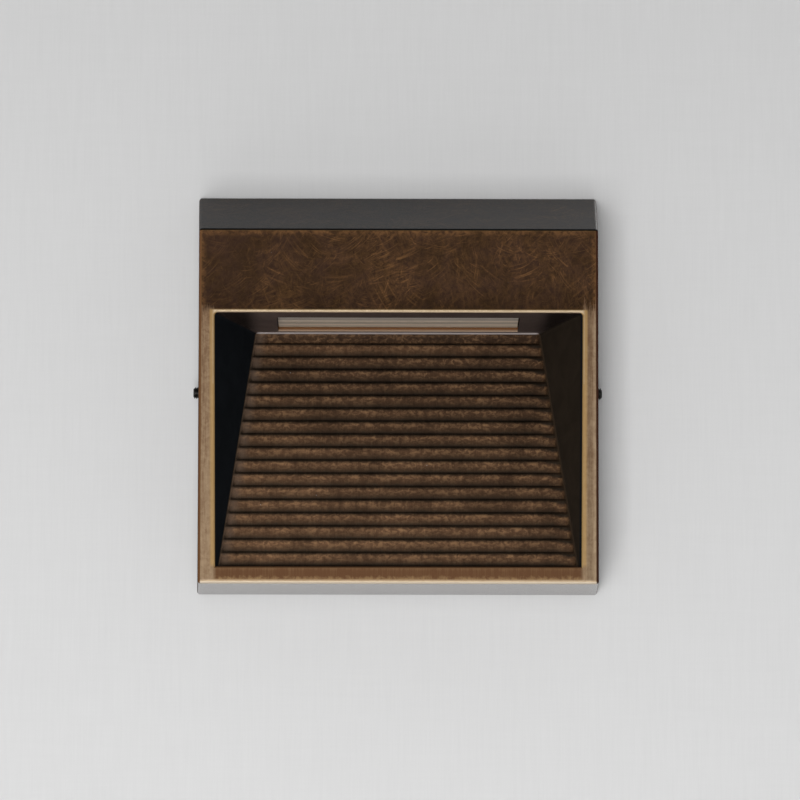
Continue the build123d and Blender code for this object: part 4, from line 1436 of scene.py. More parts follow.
        # Gold near the front face's edges: wear and partly painted highlight.
        over_bar = look.product(look.remap(look.math("SUBTRACT", z, high), *self.bar_gold),
                                look.rest(in_stile), look.math("GREATER_THAN", z, 0.0))
        inner = look.product(look.remap(past_opening, *self.inner_border),
                             look.remap(z, high + self.inner_top, high + self.inner_below),
                             look.remap(z, low - self.inner_foot, low + self.inner_above), self.inner_share)
        foot = look.remap(look.math("SUBTRACT", z, form.front_low / MM), *self.foot_gold)
        border = look.product(look.remap(to_side, *self.side_gold), look.math("GREATER_THAN", x, 0.0),
                              look.remap(z, high + self.border_top, high - self.border_full),
                              self.border_share)
        gold = look.math("MAXIMUM", over_bar, look.math("MAXIMUM", foot, border))
        gold = look.product(gold, look.remap(marks["mottle"], 0.0, 0.8, *self.gold_mottle))
        inside = look.product(look.remap(past_opening, *self.inside_border),
                              look.math("LESS_THAN", z, high + self.inside_over),
                              look.math("GREATER_THAN", z, low - self.inside_over),
                              look.math("LESS_THAN", near, 0.5))
        window = look.product(look.math("LESS_THAN", side, form.window_half / MM + self.window_over),
                              look.math("GREATER_THAN", z, form.ceiling_back / MM - self.window_below),
                              look.math("GREATER_THAN", y, front + self.window_depth),
                              look.math("LESS_THAN", z, high + self.window_top))
        inside = look.math("MAXIMUM", inside, window)
        return {"facing": facing, "nz": nz, "face": face, "lip": lip, "bar": bar, "rail": rail,
                "gold": gold, "inner": inner, "inside": inside}

    def bar(self, look: Surface, marks: Masks, patina: Any) -> bpy.types.NodeSocket:
        """The bar's colour: patina under overlapping hand-brushed arcs, darker low down, with a warmer rim.

        Args:
            look: the material being made.
            marks: the shared masks.
            patina: the colour below the scratches.

        Returns:
            The colour.
        """
        form = self.form
        x, _, z = look.separate(look.place)
        colour = look.blend(marks["cover"], patina, self.scratch)
        high = form.opening_high / MM
        shade = look.remap(z, high + self.shade_low, high + self.shade_high, *self.bar_shade, smooth=True)
        colour = look.shaded(colour, shade)
        to_side = look.math("SUBTRACT", form.front_half / MM, look.math("ABSOLUTE", x))
        to_rim = look.math("MINIMUM", to_side, look.math("SUBTRACT", form.front_high / MM, z))
        rim = look.product(look.remap(to_rim, *self.rim_border, smooth=True),
                           look.remap(marks["mottle"], 0.1, 0.9, *self.rim_mottle),
                           look.remap(marks["clouds"], 0.0, 0.8, *self.rim_clouds))
        return look.blend(rim, colour, self.rim_orange)

    def stile(self, look: Surface, marks: Masks) -> bpy.types.NodeSocket:
        """The stiles' colour: tan, brushed lengthwise, paler downwards from wear and partly painted light
        from below, with a brown outer edge.

        Args:
            look: the material being made.
            marks: the shared masks.

        Returns:
            The colour.
        """
        form = self.form
        x, _, z = look.separate(look.place)
        # Paler downwards: wear, and partly painted light from below.
        level = look.remap(z, form.opening_low / MM, form.opening_high / MM, *self.stile_wear_and_light)
        streaks = look.product(look.centred(marks["brushing"]), self.stile_streaks)
        spots = look.product(look.centred(marks["mottle"]), self.stile_spots)
        worn = look.remap(look.math("ADD", level, look.math("ADD", streaks, spots)), 0.0, 1.0)
        colour = look.blend(worn, self.stile_brown, self.stile_tan)
        to_side = look.math("SUBTRACT", form.front_half / MM, look.math("ABSOLUTE", x))
        off_middle = look.math("ABSOLUTE", look.math("SUBTRACT", to_side, self.stile_middle))
        middle = look.product(look.remap(off_middle, *self.stile_core), look.math("GREATER_THAN", x, 0.0))
        colour = look.shaded(colour, look.vary(middle, *self.core_shade))
        return look.blend(look.product(look.remap(to_side, *self.outer_line), self.outer_share), colour,
                          self.left_edge)

    def rail(self, look: Surface, marks: Masks) -> bpy.types.NodeSocket:
        """The rail's colour: mottled brown that fades to tan and gold towards its lower edge.

        Args:
            look: the material being made.
            marks: the shared masks.

        Returns:
            The colour.
        """
        _, _, z = look.separate(look.place)
        up = look.math("SUBTRACT", z, self.form.front_low / MM)
        ragged = look.math("ADD", up, look.product(look.centred(marks["mottle"]), self.rail_fray))
        worn = look.remap(ragged, *self.rail_worn, 0.0, 1.0)
        top = look.remap(up, *self.rail_top, 0.0, self.rail_top_share)
        share = look.math("ADD", look.math("MAXIMUM", worn, top),
                          look.product(look.centred(marks["brushing"]), self.rail_streaks))
        return look.blend(share, self.rail_brown, self.rail_tan)

    def inside(self, look: Surface, marks: Masks) -> bpy.types.NodeSocket:
        """The recess's colour: dark walls, the left one in painted shade and the right one in painted light,
        a browner ceiling in painted light and reflection, and the lens window's worn back edge.

        Args:
            look: the material being made.
            marks: the shared masks.

        Returns:
            The colour.
        """
        form = self.form
        x, y, z = look.separate(look.place)
        _, ny, nz = look.separate(look.normal)
        # The left recess wall carries painted shade and the right one painted light, as the light falls from
        # the left.
        walls = look.blend(look.math("GREATER_THAN", x, 0.0), self.shaded_inside_left, self.lit_inside_right)
        walls = look.shaded(walls, look.vary(marks["clouds"], *self.wall_clouds))
        # The ceiling's colour is painted light and reflection, strongest over and beside the lens window and
        # towards the left.
        ceiling = look.product(look.remap(nz, *self.ceiling_turn), look.math("GREATER_THAN", z, 0.0))
        past_window = look.math("SUBTRACT", look.math("ABSOLUTE", x), form.window_half / MM)
        lit = look.product(look.remap(past_window, *self.lit_border, *self.lit_fade, smooth=True),
                           look.vary(marks["clouds"], *self.ceiling_clouds),
                           look.remap(x, -50.0, 50.0, *self.ceiling_light_left_right))
        colour = look.blend(ceiling, walls, look.shaded(self.ceiling, lit))
        reveal = look.product(look.remap(ny, *self.reveal_turn),
                              look.math("GREATER_THAN", z, form.ceiling_back / MM - 0.3),
                              look.math("GREATER_THAN", y, -form.projection / MM + self.reveal_depth))
        worn = look.remap(z, form.ceiling_back / MM + self.reveal_worn,
                          form.ceiling_back / MM + self.reveal_full)
        return look.blend(reveal, colour, look.blend(worn, self.window_brown, self.window_gold))

    def lip(self, look: Surface) -> bpy.types.NodeSocket:
        """The colour of the rounded edges, by the way that they face: painted highlight, partly wear, on
        those facing down, painted shade on those facing up and on the right outer edge.

        Args:
            look: the material being made.

        Returns:
            The colour.
        """
        x, _, z = look.separate(look.place)
        nx, ny, nz = look.separate(look.normal)
        outward = look.remap(look.product(x, nx), *self.outward_turn)
        # The right outer edge is a painted-shade copy of the left one's brown.
        outer = look.blend(look.math("GREATER_THAN", x, 0.0), self.left_edge, self.shaded_right_edge)
        facing = look.math("MULTIPLY", ny, -1.0)
        colour = look.blend(look.remap(facing, *self.inner_turn), self.shaded_inside_left, self.inner_gold_and_highlight)
        colour = look.blend(outward, colour, outer)
        # Upward-facing rounded edges take the same painted shade.
        colour = look.blend(look.remap(nz, *self.upward_turn), colour, self.top_painted_shade)
        high = look.math("GREATER_THAN", z, 0.0)
        # Downward-facing edges take a painted highlight of the light from below, partly wear.
        down = look.remap(nz, *self.downward_turn)
        turned = look.product(high, look.remap(nz, *self.gold_turn))
        across = look.remap(look.math("ABSOLUTE", nx), *self.corner_turn)
        down = look.product(down, across)
        under = look.blend(turned, look.blend(high, self.foot_pale_highlight, self.edge_gold_and_highlight), self.red_dark)
        colour = look.blend(down, colour, under)
        rail = look.product(look.rest(high), look.remap(nz, *self.rail_turn))
        return look.blend(rail, colour, self.rail_brown)


@dataclass(frozen=True)
class BronzeRamp:
    """Dark bronze ribs, worn to mottled gold on each step's nose and black at its foot, that black partly
    painted shade; painted shade also darkens the ramp towards its top, its right side and along the recess
    walls, and a painted highlight lies along its upper edge.
    """

    form: CastForm
    ribs: RibbedRamp
    foot_dark_and_shade: Colour = (0.0300, 0.0200, 0.0125)
    rib_brown: Colour = (0.1300, 0.0680, 0.0350)
    rib_gold: Colour = (0.2400, 0.1350, 0.0620)
    grey_end: Colour = (0.0950, 0.0690, 0.0530)
    upper_edge_highlight: Colour = (0.2500, 0.2200, 0.2100)
    dust: Colour = (0.5000, 0.4800, 0.4500)
    coat_rough: float = 0.3
    coat_index: float = 1.5
    plain_level: float = 0.02
    fleck_stretch: float = 1.5
    fleck_size: float = 1.1
    cloud_size: float = 14.0
    grain_size: float = 0.35
    line_spacing: float = 0.5
    line_length: float = 5.0
    shadow_sag_reach: Span = (6.5, 1.0)
    shadow_sag_depth: float = 0.18
    gold_flecks: Span = (0.45, 1.0)
    gold_clouds: Span = (0.35, 1.0)
    painted_recess_shade: Span = (0.44, 1.0)
    painted_shade_to_right: Span = (1.1, 0.8)
    first_shade: Span = (1.0, 1.55)
    cloud_shade: Span = (0.74, 1.16)
    line_shade: Span = (0.85, 1.15)
    fleck_shade: Span = (0.68, 1.3)
    gold_share: Span = (0.45, 0.75)
    grey_reach: Span = (4.5, 0.8)
    grey_crest: Span = (0.1, 0.5)
    lip_down: Span = (0.6, 0.4)
    lip_side: Span = (0.2, 0.6)
    flank_shift: float = 0.3
    wall_shade_reach: Span = (0.75, 0.35)
    dust_cell: float = 9.0
    dust_share: float = 0.08
    dust_size: float = 0.25
    dust_strength: float = 0.35
    metal: Span = (0.1, 0.4)
    rough: Span = (0.45, 0.62)
    coat: Span = (0.02, 0.08)
    grain_relief: float = 0.8
    fleck_relief: float = 0.8
    relief: float = 0.035
    fray: float = 0.22
    wear_rise: Span = (0.06, 0.28)
    wear_fall: Span = (0.34, 0.92)
    band_wear: float = 0.75

    def build(self) -> bpy.types.Material:
        """Makes the material.

        Returns:
            The material.
        """
        form = self.form
        look = Surface("bronze_ramp", Coat_Roughness=self.coat_rough, Coat_IOR=self.coat_index,
                       Specular_IOR_Level=self.plain_level)
        x, y, z = look.separate(look.place)
        below = look.vector_math("SUBTRACT", look.place, tuple(form.ramp_top / MM))
        down = look.vector_math("DOT_PRODUCT", below, tuple(form.ramp_down))
        share = look.remap(down, 0.0, form.ramp_length / MM)
        depth = look.product(look.math("ADD", y, form.projection / MM), form.taper)
        rise = look.product(look.math("SUBTRACT", z, form.opening_low / MM), form.lean)
        half = look.math("ADD", look.math("SUBTRACT", form.half_low / MM, depth), rise)
        to_wall = look.math("SUBTRACT", half, look.math("ABSOLUTE", x))
        right = look.math("GREATER_THAN", x, 0.0)
        flecks = look.effect(patina_clouds(),
                             Place=look.combine(look.math("DIVIDE", x, self.fleck_stretch), y, z),
                             Patch_Size=self.fleck_size).outputs[0]
        clouds = look.effect(patina_clouds(), Place=look.place, Patch_Size=self.cloud_size).outputs[0]
        grain = look.effect(fine_grain(), Place=look.place, Grain_Size=self.grain_size)
        across = look.effect(straight_brushing(), Flat=look.combine(x, down, 0.0),
                             Line_Spacing=self.line_spacing,
                             Line_Length=self.line_length).outputs[0]
        # Painted shadow of the right recess wall: the wear sinks lower near it.
        sag = look.product(look.remap(to_wall, *self.shadow_sag_reach, smooth=True), right, self.shadow_sag_depth)
        crest = self.crest(look, z, sag, flecks)
        gold = look.product(look.remap(flecks, *self.gold_flecks), crest,
                            look.vary(clouds, *self.gold_clouds))
        # The step's foot is dark from dirt and from painted shade in the inner corner.
        colour = look.blend(crest, self.foot_dark_and_shade, self.rib_brown)
        # Painted shade: darker towards the top of the ramp, deep in the recess.
        colour = look.shaded(colour, look.vary(share, *self.painted_recess_shade))
        # Painted shade: darker towards the right, as the light falls from the left.
        colour = look.shaded(colour, look.remap(x, -55.0, 55.0, *self.painted_shade_to_right))
        first = look.product(look.remap(down, self.ribs.top_band / MM, self.ribs.top_band / MM + 0.3),
                             look.math("LESS_THAN", down, (self.ribs.top_band + self.ribs.pitch) / MM))
        colour = look.shaded(colour, look.vary(first, *self.first_shade))
        colour = look.shaded(colour, look.vary(clouds, *self.cloud_shade))
        colour = look.shaded(colour, look.vary(across, *self.line_shade))
        colour = look.shaded(colour, look.vary(flecks, *self.fleck_shade))
        colour = look.blend(look.product(gold, look.vary(share, *self.gold_share)), colour, self.rib_gold)
        greyed = look.product(look.remap(to_wall, *self.grey_reach, smooth=True), look.rest(right),
                              look.remap(crest, 0.0, 0.4, *self.grey_crest))
        colour = look.blend(greyed, colour, self.grey_end)
        # Painted highlight along the ramp's upper edge.
        colour = look.blend(look.product(look.remap(down, *self.lip_down),
                                         look.remap(to_wall, *self.lip_side)), colour,
                            self.upper_edge_highlight)
        # Painted shade along the recess walls, narrower on the left.
        to_flank = look.math("ADD", to_wall, look.product(look.rest(right), self.flank_shift))
        colour = look.blend(look.remap(to_flank, *self.wall_shade_reach), colour, self.foot_dark_and_shade)
        dust = look.effect(settled_dust(), Place=look.place, Cell_Size=self.dust_cell,
                           Share=self.dust_share, Speck_Size=self.dust_size)
        colour = look.blend(look.product(dust.outputs["Specks"], self.dust_strength), colour, self.dust)
        look.set(Base_Color=colour, Metallic=look.vary(gold, *self.metal),
                 Roughness=look.vary(grain.outputs["Mask"], *self.rough),
                 Coat_Weight=look.vary(gold, *self.coat))
        look.relief(look.math("ADD", look.product(grain.outputs["Height"], self.grain_relief),
                              look.product(flecks, self.fleck_relief)), self.relief)
        return look.material

    def crest(self, look: Surface, z: Any, sag: Any, flecks: Any) -> bpy.types.NodeSocket:
        """How worn a step is, from its foot to its nose; its fall towards the groove is partly painted shade
        in the inner corner.

        Args:
            look: the material being made.
            z: the height in millimetres.
            sag: how far the wear sinks below the steps near the right recess wall, a painted shadow of that
                wall.
            flecks: the mottling that makes its border uneven.

        Returns:
            The share, from 0 in the groove to 1 on the nose.
        """
        fall = -self.form.ramp_down.z
        top = (self.form.ceiling_back - self.ribs.top_band * fall) / MM
        steps = look.math("DIVIDE", look.math("SUBTRACT", top, z), self.ribs.pitch * fall / MM)
        phase = look.math("FRACT", look.math("SUBTRACT", look.math("ADD", steps, 1.0), sag))
        ragged = look.math("ADD", phase, look.product(look.centred(flecks), self.fray))
        rising = look.remap(phase, *self.wear_rise)
        falling = look.remap(ragged, *self.wear_fall, 1.0, 0.0)
        band = look.product(look.math("LESS_THAN", steps, 0.0), self.band_wear)
        return look.math("MAXIMUM", band, look.product(rising, falling))


class Working(Enum):
    """How a metal part's surface was made."""

    BRUSHED = "rolled and brushed"
    SPANGLED = "zinc coated"
    MILLED = "mill finish"
    BLASTED = "cast and blasted"
    TURNED = "turned and plated"


@dataclass(frozen=True)
class MetalFinish:
    """A bare or plated metal with the marks of how it was worked."""

    name: str
    colour: Colour
    working: Working
    roughness: float = 0.35
    worn: Colour = (0.72, 0.71, 0.69)
    mark_shade: Span = (0.8, 1.12)
    cloud_shade: Span = (0.88, 1.05)
    rough_less: float = 0.07
    rough_more: float = 0.1
    edge_wear: float = 0.7
    edge_rough: float = 0.24
    dust_cell: float = 6.0
    dust_share: float = 0.2
    dust_size: float = 0.16
    film_rough: float = 0.1
    grain_size: float = 0.22
    cloud_size: float = 14.0
    crystal_size: float = 2.6
    line_spacing: float = 0.25
    line_length: float = 12.0

    def build(self) -> bpy.types.Material:
        """Makes the material.

        Returns:
            The material.
        """
        look = Surface(self.name, Metallic=1.0)
        flat = look.effect(flat_coordinates(), Place=look.place, Normal=look.normal).outputs[0]
        grain = look.effect(fine_grain(), Place=look.place, Grain_Size=self.grain_size)
        clouds = look.effect(patina_clouds(), Place=look.place, Patch_Size=self.cloud_size).outputs[0]
        height = grain.outputs["Height"]
        relief = 0.008
        if self.working is Working.SPANGLED:
            marks = look.effect(zinc_spangle(), Place=look.place, Crystal_Size=self.crystal_size).outputs[0]
        elif self.working is Working.TURNED:
            marks = look.effect(turned_rings()).outputs["Mask"]
            height = marks
            relief = 0.006
        elif self.working is Working.BLASTED:
            marks = grain.outputs["Mask"]
            relief = 0.03
        else:
            marks = look.effect(straight_brushing(), Flat=flat, Line_Spacing=self.line_spacing,
                                Line_Length=self.line_length).outputs[0]
            height = marks
        colour = look.shaded(self.colour, look.vary(marks, *self.mark_shade))
        colour = look.shaded(colour, look.vary(clouds, *self.cloud_shade))
        rough = look.vary(marks, self.roughness - self.rough_less, self.roughness + self.rough_more)
        if self.working is not Working.TURNED:
            edges = look.effect(worn_edges(), Place=look.place).outputs[0]
            colour = look.blend(look.product(edges, self.edge_wear), colour, self.worn)
            rough = look.pick(edges, rough, self.edge_rough)
        dust = look.effect(settled_dust(), Place=look.place, Cell_Size=self.dust_cell,
                           Share=self.dust_share, Speck_Size=self.dust_size)
        rough = look.math("ADD", rough, look.product(dust.outputs["Film"], self.film_rough))
        look.set(Base_Color=colour, Roughness=rough)
        look.relief(height, relief)
        return look.material


class Moulding(Enum):
    """What kind of soft or moulded stuff a part is made of."""

    PLASTIC = "moulded plastic"
    RUBBER = "moulded rubber"
    FOAM = "closed-cell foam"
    INSULATION = "lead insulation"
    SOLDER_MASK = "solder mask"


@dataclass(frozen=True)
class MouldedFinish:
    """A plastic, rubber, foam or enamel with its grain, tint and dust."""

    name: str
    colour: Colour
    moulding: Moulding = Moulding.PLASTIC
    roughness: float = 0.45
    dusty: Colour = (0.5, 0.49, 0.47)
    cloud_size: float = 10.0
    dust_cell: float = 4.0
    dust_share: float = 0.25
    dust_size: float = 0.14
    cloud_shade: Span = (0.86, 1.1)
    grain_shade: Span = (0.92, 1.05)
    dust_strength: float = 0.25
    rough_less: float = 0.06
    rough_more: float = 0.08
    track_shift: float = 0.9
    track_width: float = 1.9
    track_middle: float = 0.95
    track_edge: Span = (0.05, 0.12)
    track_shade: Span = (0.86, 1.0)
    mask_grain: float = 0.4
    mask_step: float = 2.0
    rubber_film: float = 0.12
    plain_film: float = 0.05

    def build(self) -> bpy.types.Material:
        """Makes the material.

        Returns:
            The material.
        """
        look = Surface(self.name)
        sizes = {Moulding.PLASTIC: 0.3, Moulding.RUBBER: 0.5, Moulding.FOAM: 0.45,
                 Moulding.INSULATION: 0.6, Moulding.SOLDER_MASK: 0.2}
        depths = {Moulding.PLASTIC: 0.012, Moulding.RUBBER: 0.02, Moulding.FOAM: 0.08,
                  Moulding.INSULATION: 0.01, Moulding.SOLDER_MASK: 0.006}
        grain = look.effect(fine_grain(), Place=look.place, Grain_Size=sizes[self.moulding])
        clouds = look.effect(patina_clouds(), Place=look.place, Patch_Size=self.cloud_size).outputs[0]
        dust = look.effect(settled_dust(), Place=look.place, Cell_Size=self.dust_cell,
                           Share=self.dust_share, Speck_Size=self.dust_size)
        colour = look.shaded(self.colour, look.vary(clouds, *self.cloud_shade))
        colour = look.shaded(colour, look.vary(grain.outputs["Mask"], *self.grain_shade))
        height = grain.outputs["Height"]
        if self.moulding is Moulding.SOLDER_MASK:
            _, y, _ = look.separate(look.place)
            tracks = look.math("PINGPONG", look.math("ADD", y, self.track_shift), self.track_width)
            edge = look.remap(look.math("ABSOLUTE", look.math("SUBTRACT", tracks, self.track_middle)),
                              *self.track_edge)
            colour = look.shaded(colour, look.vary(edge, *self.track_shade))
            height = look.math("ADD", look.product(height, self.mask_grain),
                               look.product(edge, self.mask_step))
        film = look.product(dust.outputs["Film"],
                            self.rubber_film if self.moulding is Moulding.RUBBER else self.plain_film)
        colour = look.blend(look.math("ADD", film,
                                      look.product(dust.outputs["Specks"], self.dust_strength)), colour,
                            self.dusty)
        look.set(Base_Color=colour,
                 Roughness=look.vary(grain.outputs["Mask"], self.roughness - self.rough_less,
                                     self.roughness + self.rough_more))
        look.relief(height, depths[self.moulding])
        return look.material


@dataclass(frozen=True)
class LensFinish:
    """Clear plastic with a frosted, slightly greyed face, with painted soft bands of light across it and a
    painted brown reflection of the ramp towards its back.
    """

    form: CastForm
    name: str = "clear_lens"
    colour: Colour = (0.72, 0.71, 0.70)
    ramp_reflection_tint: Colour = (0.66, 0.55, 0.44)
    band_spacing: float = 6.0
    first_band: float = 8.4
    clearness: float = 0.55
    index: float = 1.49
    line_spacing: float = 0.5
    line_length: float = 20.0
    grain_size: float = 0.2
    dust_cell: float = 4.0
    dust_share: float = 0.2
    dust_size: float = 0.12
    back_run: float = 13.0
    band_shade: Span = (0.7, 1.12)
    back_shade: Span = (1.0, 1.25)
    line_shade: Span = (0.92, 1.04)
    dust_strength: float = 0.3
    dust: Colour = (0.6, 0.58, 0.55)
    rough: Span = (0.28, 0.42)
    relief: float = 0.01

    def build(self) -> bpy.types.Material:
        """Makes the material.

        Returns:
            The material.
        """
        look = Surface(self.name, Transmission_Weight=self.clearness, IOR=self.index, Metallic=0.0)
        x, y, _ = look.separate(look.place)
        depth = look.math("ADD", y, self.form.projection / MM)
        turns = look.math("DIVIDE", look.math("SUBTRACT", depth, self.first_band), self.band_spacing)
        # Painted bands of light and reflection, one for each row behind the lens.
        painted_bands = look.math("COSINE", look.math("MULTIPLY", turns, 2 * math.pi))
        brushing = look.effect(straight_brushing(), Flat=look.combine(y, x, 0.0),
                               Line_Spacing=self.line_spacing,
                               Line_Length=self.line_length).outputs[0]
        grain = look.effect(fine_grain(), Place=look.place, Grain_Size=self.grain_size)
        dust = look.effect(settled_dust(), Place=look.place, Cell_Size=self.dust_cell,
                           Share=self.dust_share, Speck_Size=self.dust_size)
        back = look.remap(depth, self.first_band, self.first_band + self.back_run)
        # Towards its back the lens takes a painted brown reflection of the ramp, brighter.
        colour = look.blend(back, self.colour, self.ramp_reflection_tint)
        colour = look.shaded(colour, look.remap(painted_bands, -1.0, 1.0, *self.band_shade))
        colour = look.shaded(colour, look.remap(back, 0.5, 1.0, *self.back_shade))
        colour = look.shaded(colour, look.vary(brushing, *self.line_shade))
        colour = look.blend(look.product(dust.outputs["Specks"], self.dust_strength), colour, self.dust)
        look.set(Base_Color=colour, Roughness=look.vary(grain.outputs["Mask"], *self.rough))
        look.relief(grain.outputs["Height"], self.relief)
        return look.material


@dataclass
class PhotoCamera:
    """The camera at the photograph's viewing angle."""

    target: Vector = field(default_factory=lambda: Vector((0, -22.0 * MM, 0)))
    azimuth: float = -0.462
    elevation: float = -5.137
    roll: float = 0.086
    distance: float = 1.6
    lens: float = 218.0
    shift_x: float = 0.00246
    shift_y: float = -0.0125

    def build(self) -> bpy.types.Object:
        """Makes the camera and makes it the scene's own."""
        a, e, r = (math.radians(angle) for angle in (self.azimuth, self.elevation, self.roll))
        back = Vector((math.sin(a) * math.cos(e), -math.cos(a) * math.cos(e), math.sin(e)))
        level = Vector((math.cos(a), math.sin(a), 0))
        upright = back.cross(level)
        right = math.cos(r) * level + math.sin(r) * upright
        up = back.cross(right)
        camera = bpy.data.objects.new("photo_camera", bpy.data.cameras.new("photo_camera"))
        camera.data.lens = self.lens
        camera.data.shift_x = self.shift_x
        camera.data.shift_y = self.shift_y
        camera.data.clip_end = 50.0
        camera.matrix_world = axes_matrix(right, up, back, self.target + back * self.distance)
        bpy.context.scene.collection.objects.link(camera)
        bpy.context.scene.camera = camera
        return camera


@dataclass
class LedChips:
    """The row of light-emitting chips: a white moulded frame round a dome of yellow phosphor."""

    form: CastForm
    side: float = 3.0 * MM
    height: float = 0.7 * MM
    corner: float = 0.3 * MM
    dome_radius: float = 1.15 * MM
    dome_rise: float = 0.16 * MM
    dome_steps: int = 6
    dome_sides: int = 28
    dome_crease: float = 50.0
    frame_crease: float = 30.0

    def build(self, frame_finish: bpy.types.Material, phosphor: bpy.types.Material,
              slot: str) -> bpy.types.Object:
        """Builds the chips as one mesh and puts it in the CAD node's place.

        Args:
            frame_finish: the finish of the white frames.
            phosphor: the finish of the domes.
            slot: the record's material slot; not used.

        Returns:
            The finished piece.
        """
        places = [sum(points, Vector()) / len(points) for points in solids_of("led_chips")]
        tree = GeometryTree("led_chips_tree")
        side = tree.size("Side", self.side)
        height = tree.size("Height", self.height - self.dome_rise)
        square = tree.add("GeometryNodeCurvePrimitiveQuadrilateral", {"mode": "RECTANGLE"}, Width=side,
                          Height=side).outputs[0]
        square = tree.rounded(square, tree.size("Corner", self.corner), 4)
        foot = tree.combine(0.0, 0.0, tree.math("MULTIPLY", height, -1.0))
        path = tree.add("GeometryNodeCurvePrimitiveLine", Start=foot, End=(0.0, 0.0, 0.0)).outputs[0]
        block = tree.creased(tree.swept(path, square), self.frame_crease)
        block = tree.painted(block, "Frame Finish", frame_finish)
        radius = tree.size("Dome Radius", self.dome_radius)
        rise = tree.size("Dome Rise", self.dome_rise)
        corners = [tree.combine(0.0, 0.0, rise)]
        for step in range(1, self.dome_steps):
            angle = math.pi / 2 * step / self.dome_steps
            across = tree.product(radius, math.sin(angle))
            corners.append(tree.combine(across, 0.0, tree.product(rise, math.cos(angle))))
        corners += [tree.combine(radius, 0.0, 0.0), tree.combine(0.0, 0.0, 0.0)]
        profile = tree.polyline(len(corners), tree.chosen(corners))
        dome = tree.revolved(profile, tree.size("Segments", self.dome_sides))
        dome = tree.painted(tree.creased(dome, self.dome_crease), "Phosphor", phosphor)
        chip = tree.join(block, dome)
        lift = tree.size("Lift", self.height / 2 - self.dome_rise)
        chip = tree.add("GeometryNodeTransform", Geometry=chip,
                        Translation=tree.combine(0.0, 0.0, lift)).outputs[0]
        turn = tree.add("FunctionNodeAxesToRotation", {"primary_axis": "Z", "secondary_axis": "X"})
        tree.feed(turn.inputs[0], tree.size("Facing", -self.form.ceiling_frame.col[2].to_3d()))
        tree.feed(turn.inputs[1], (1.0, 0.0, 0.0))
        copies = tree.copied(chip, turn.outputs[0])
        piece = tree.mesh("led_chip_row", copies, places)
        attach(piece, "housing")
        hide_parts("led_chips")
        return piece


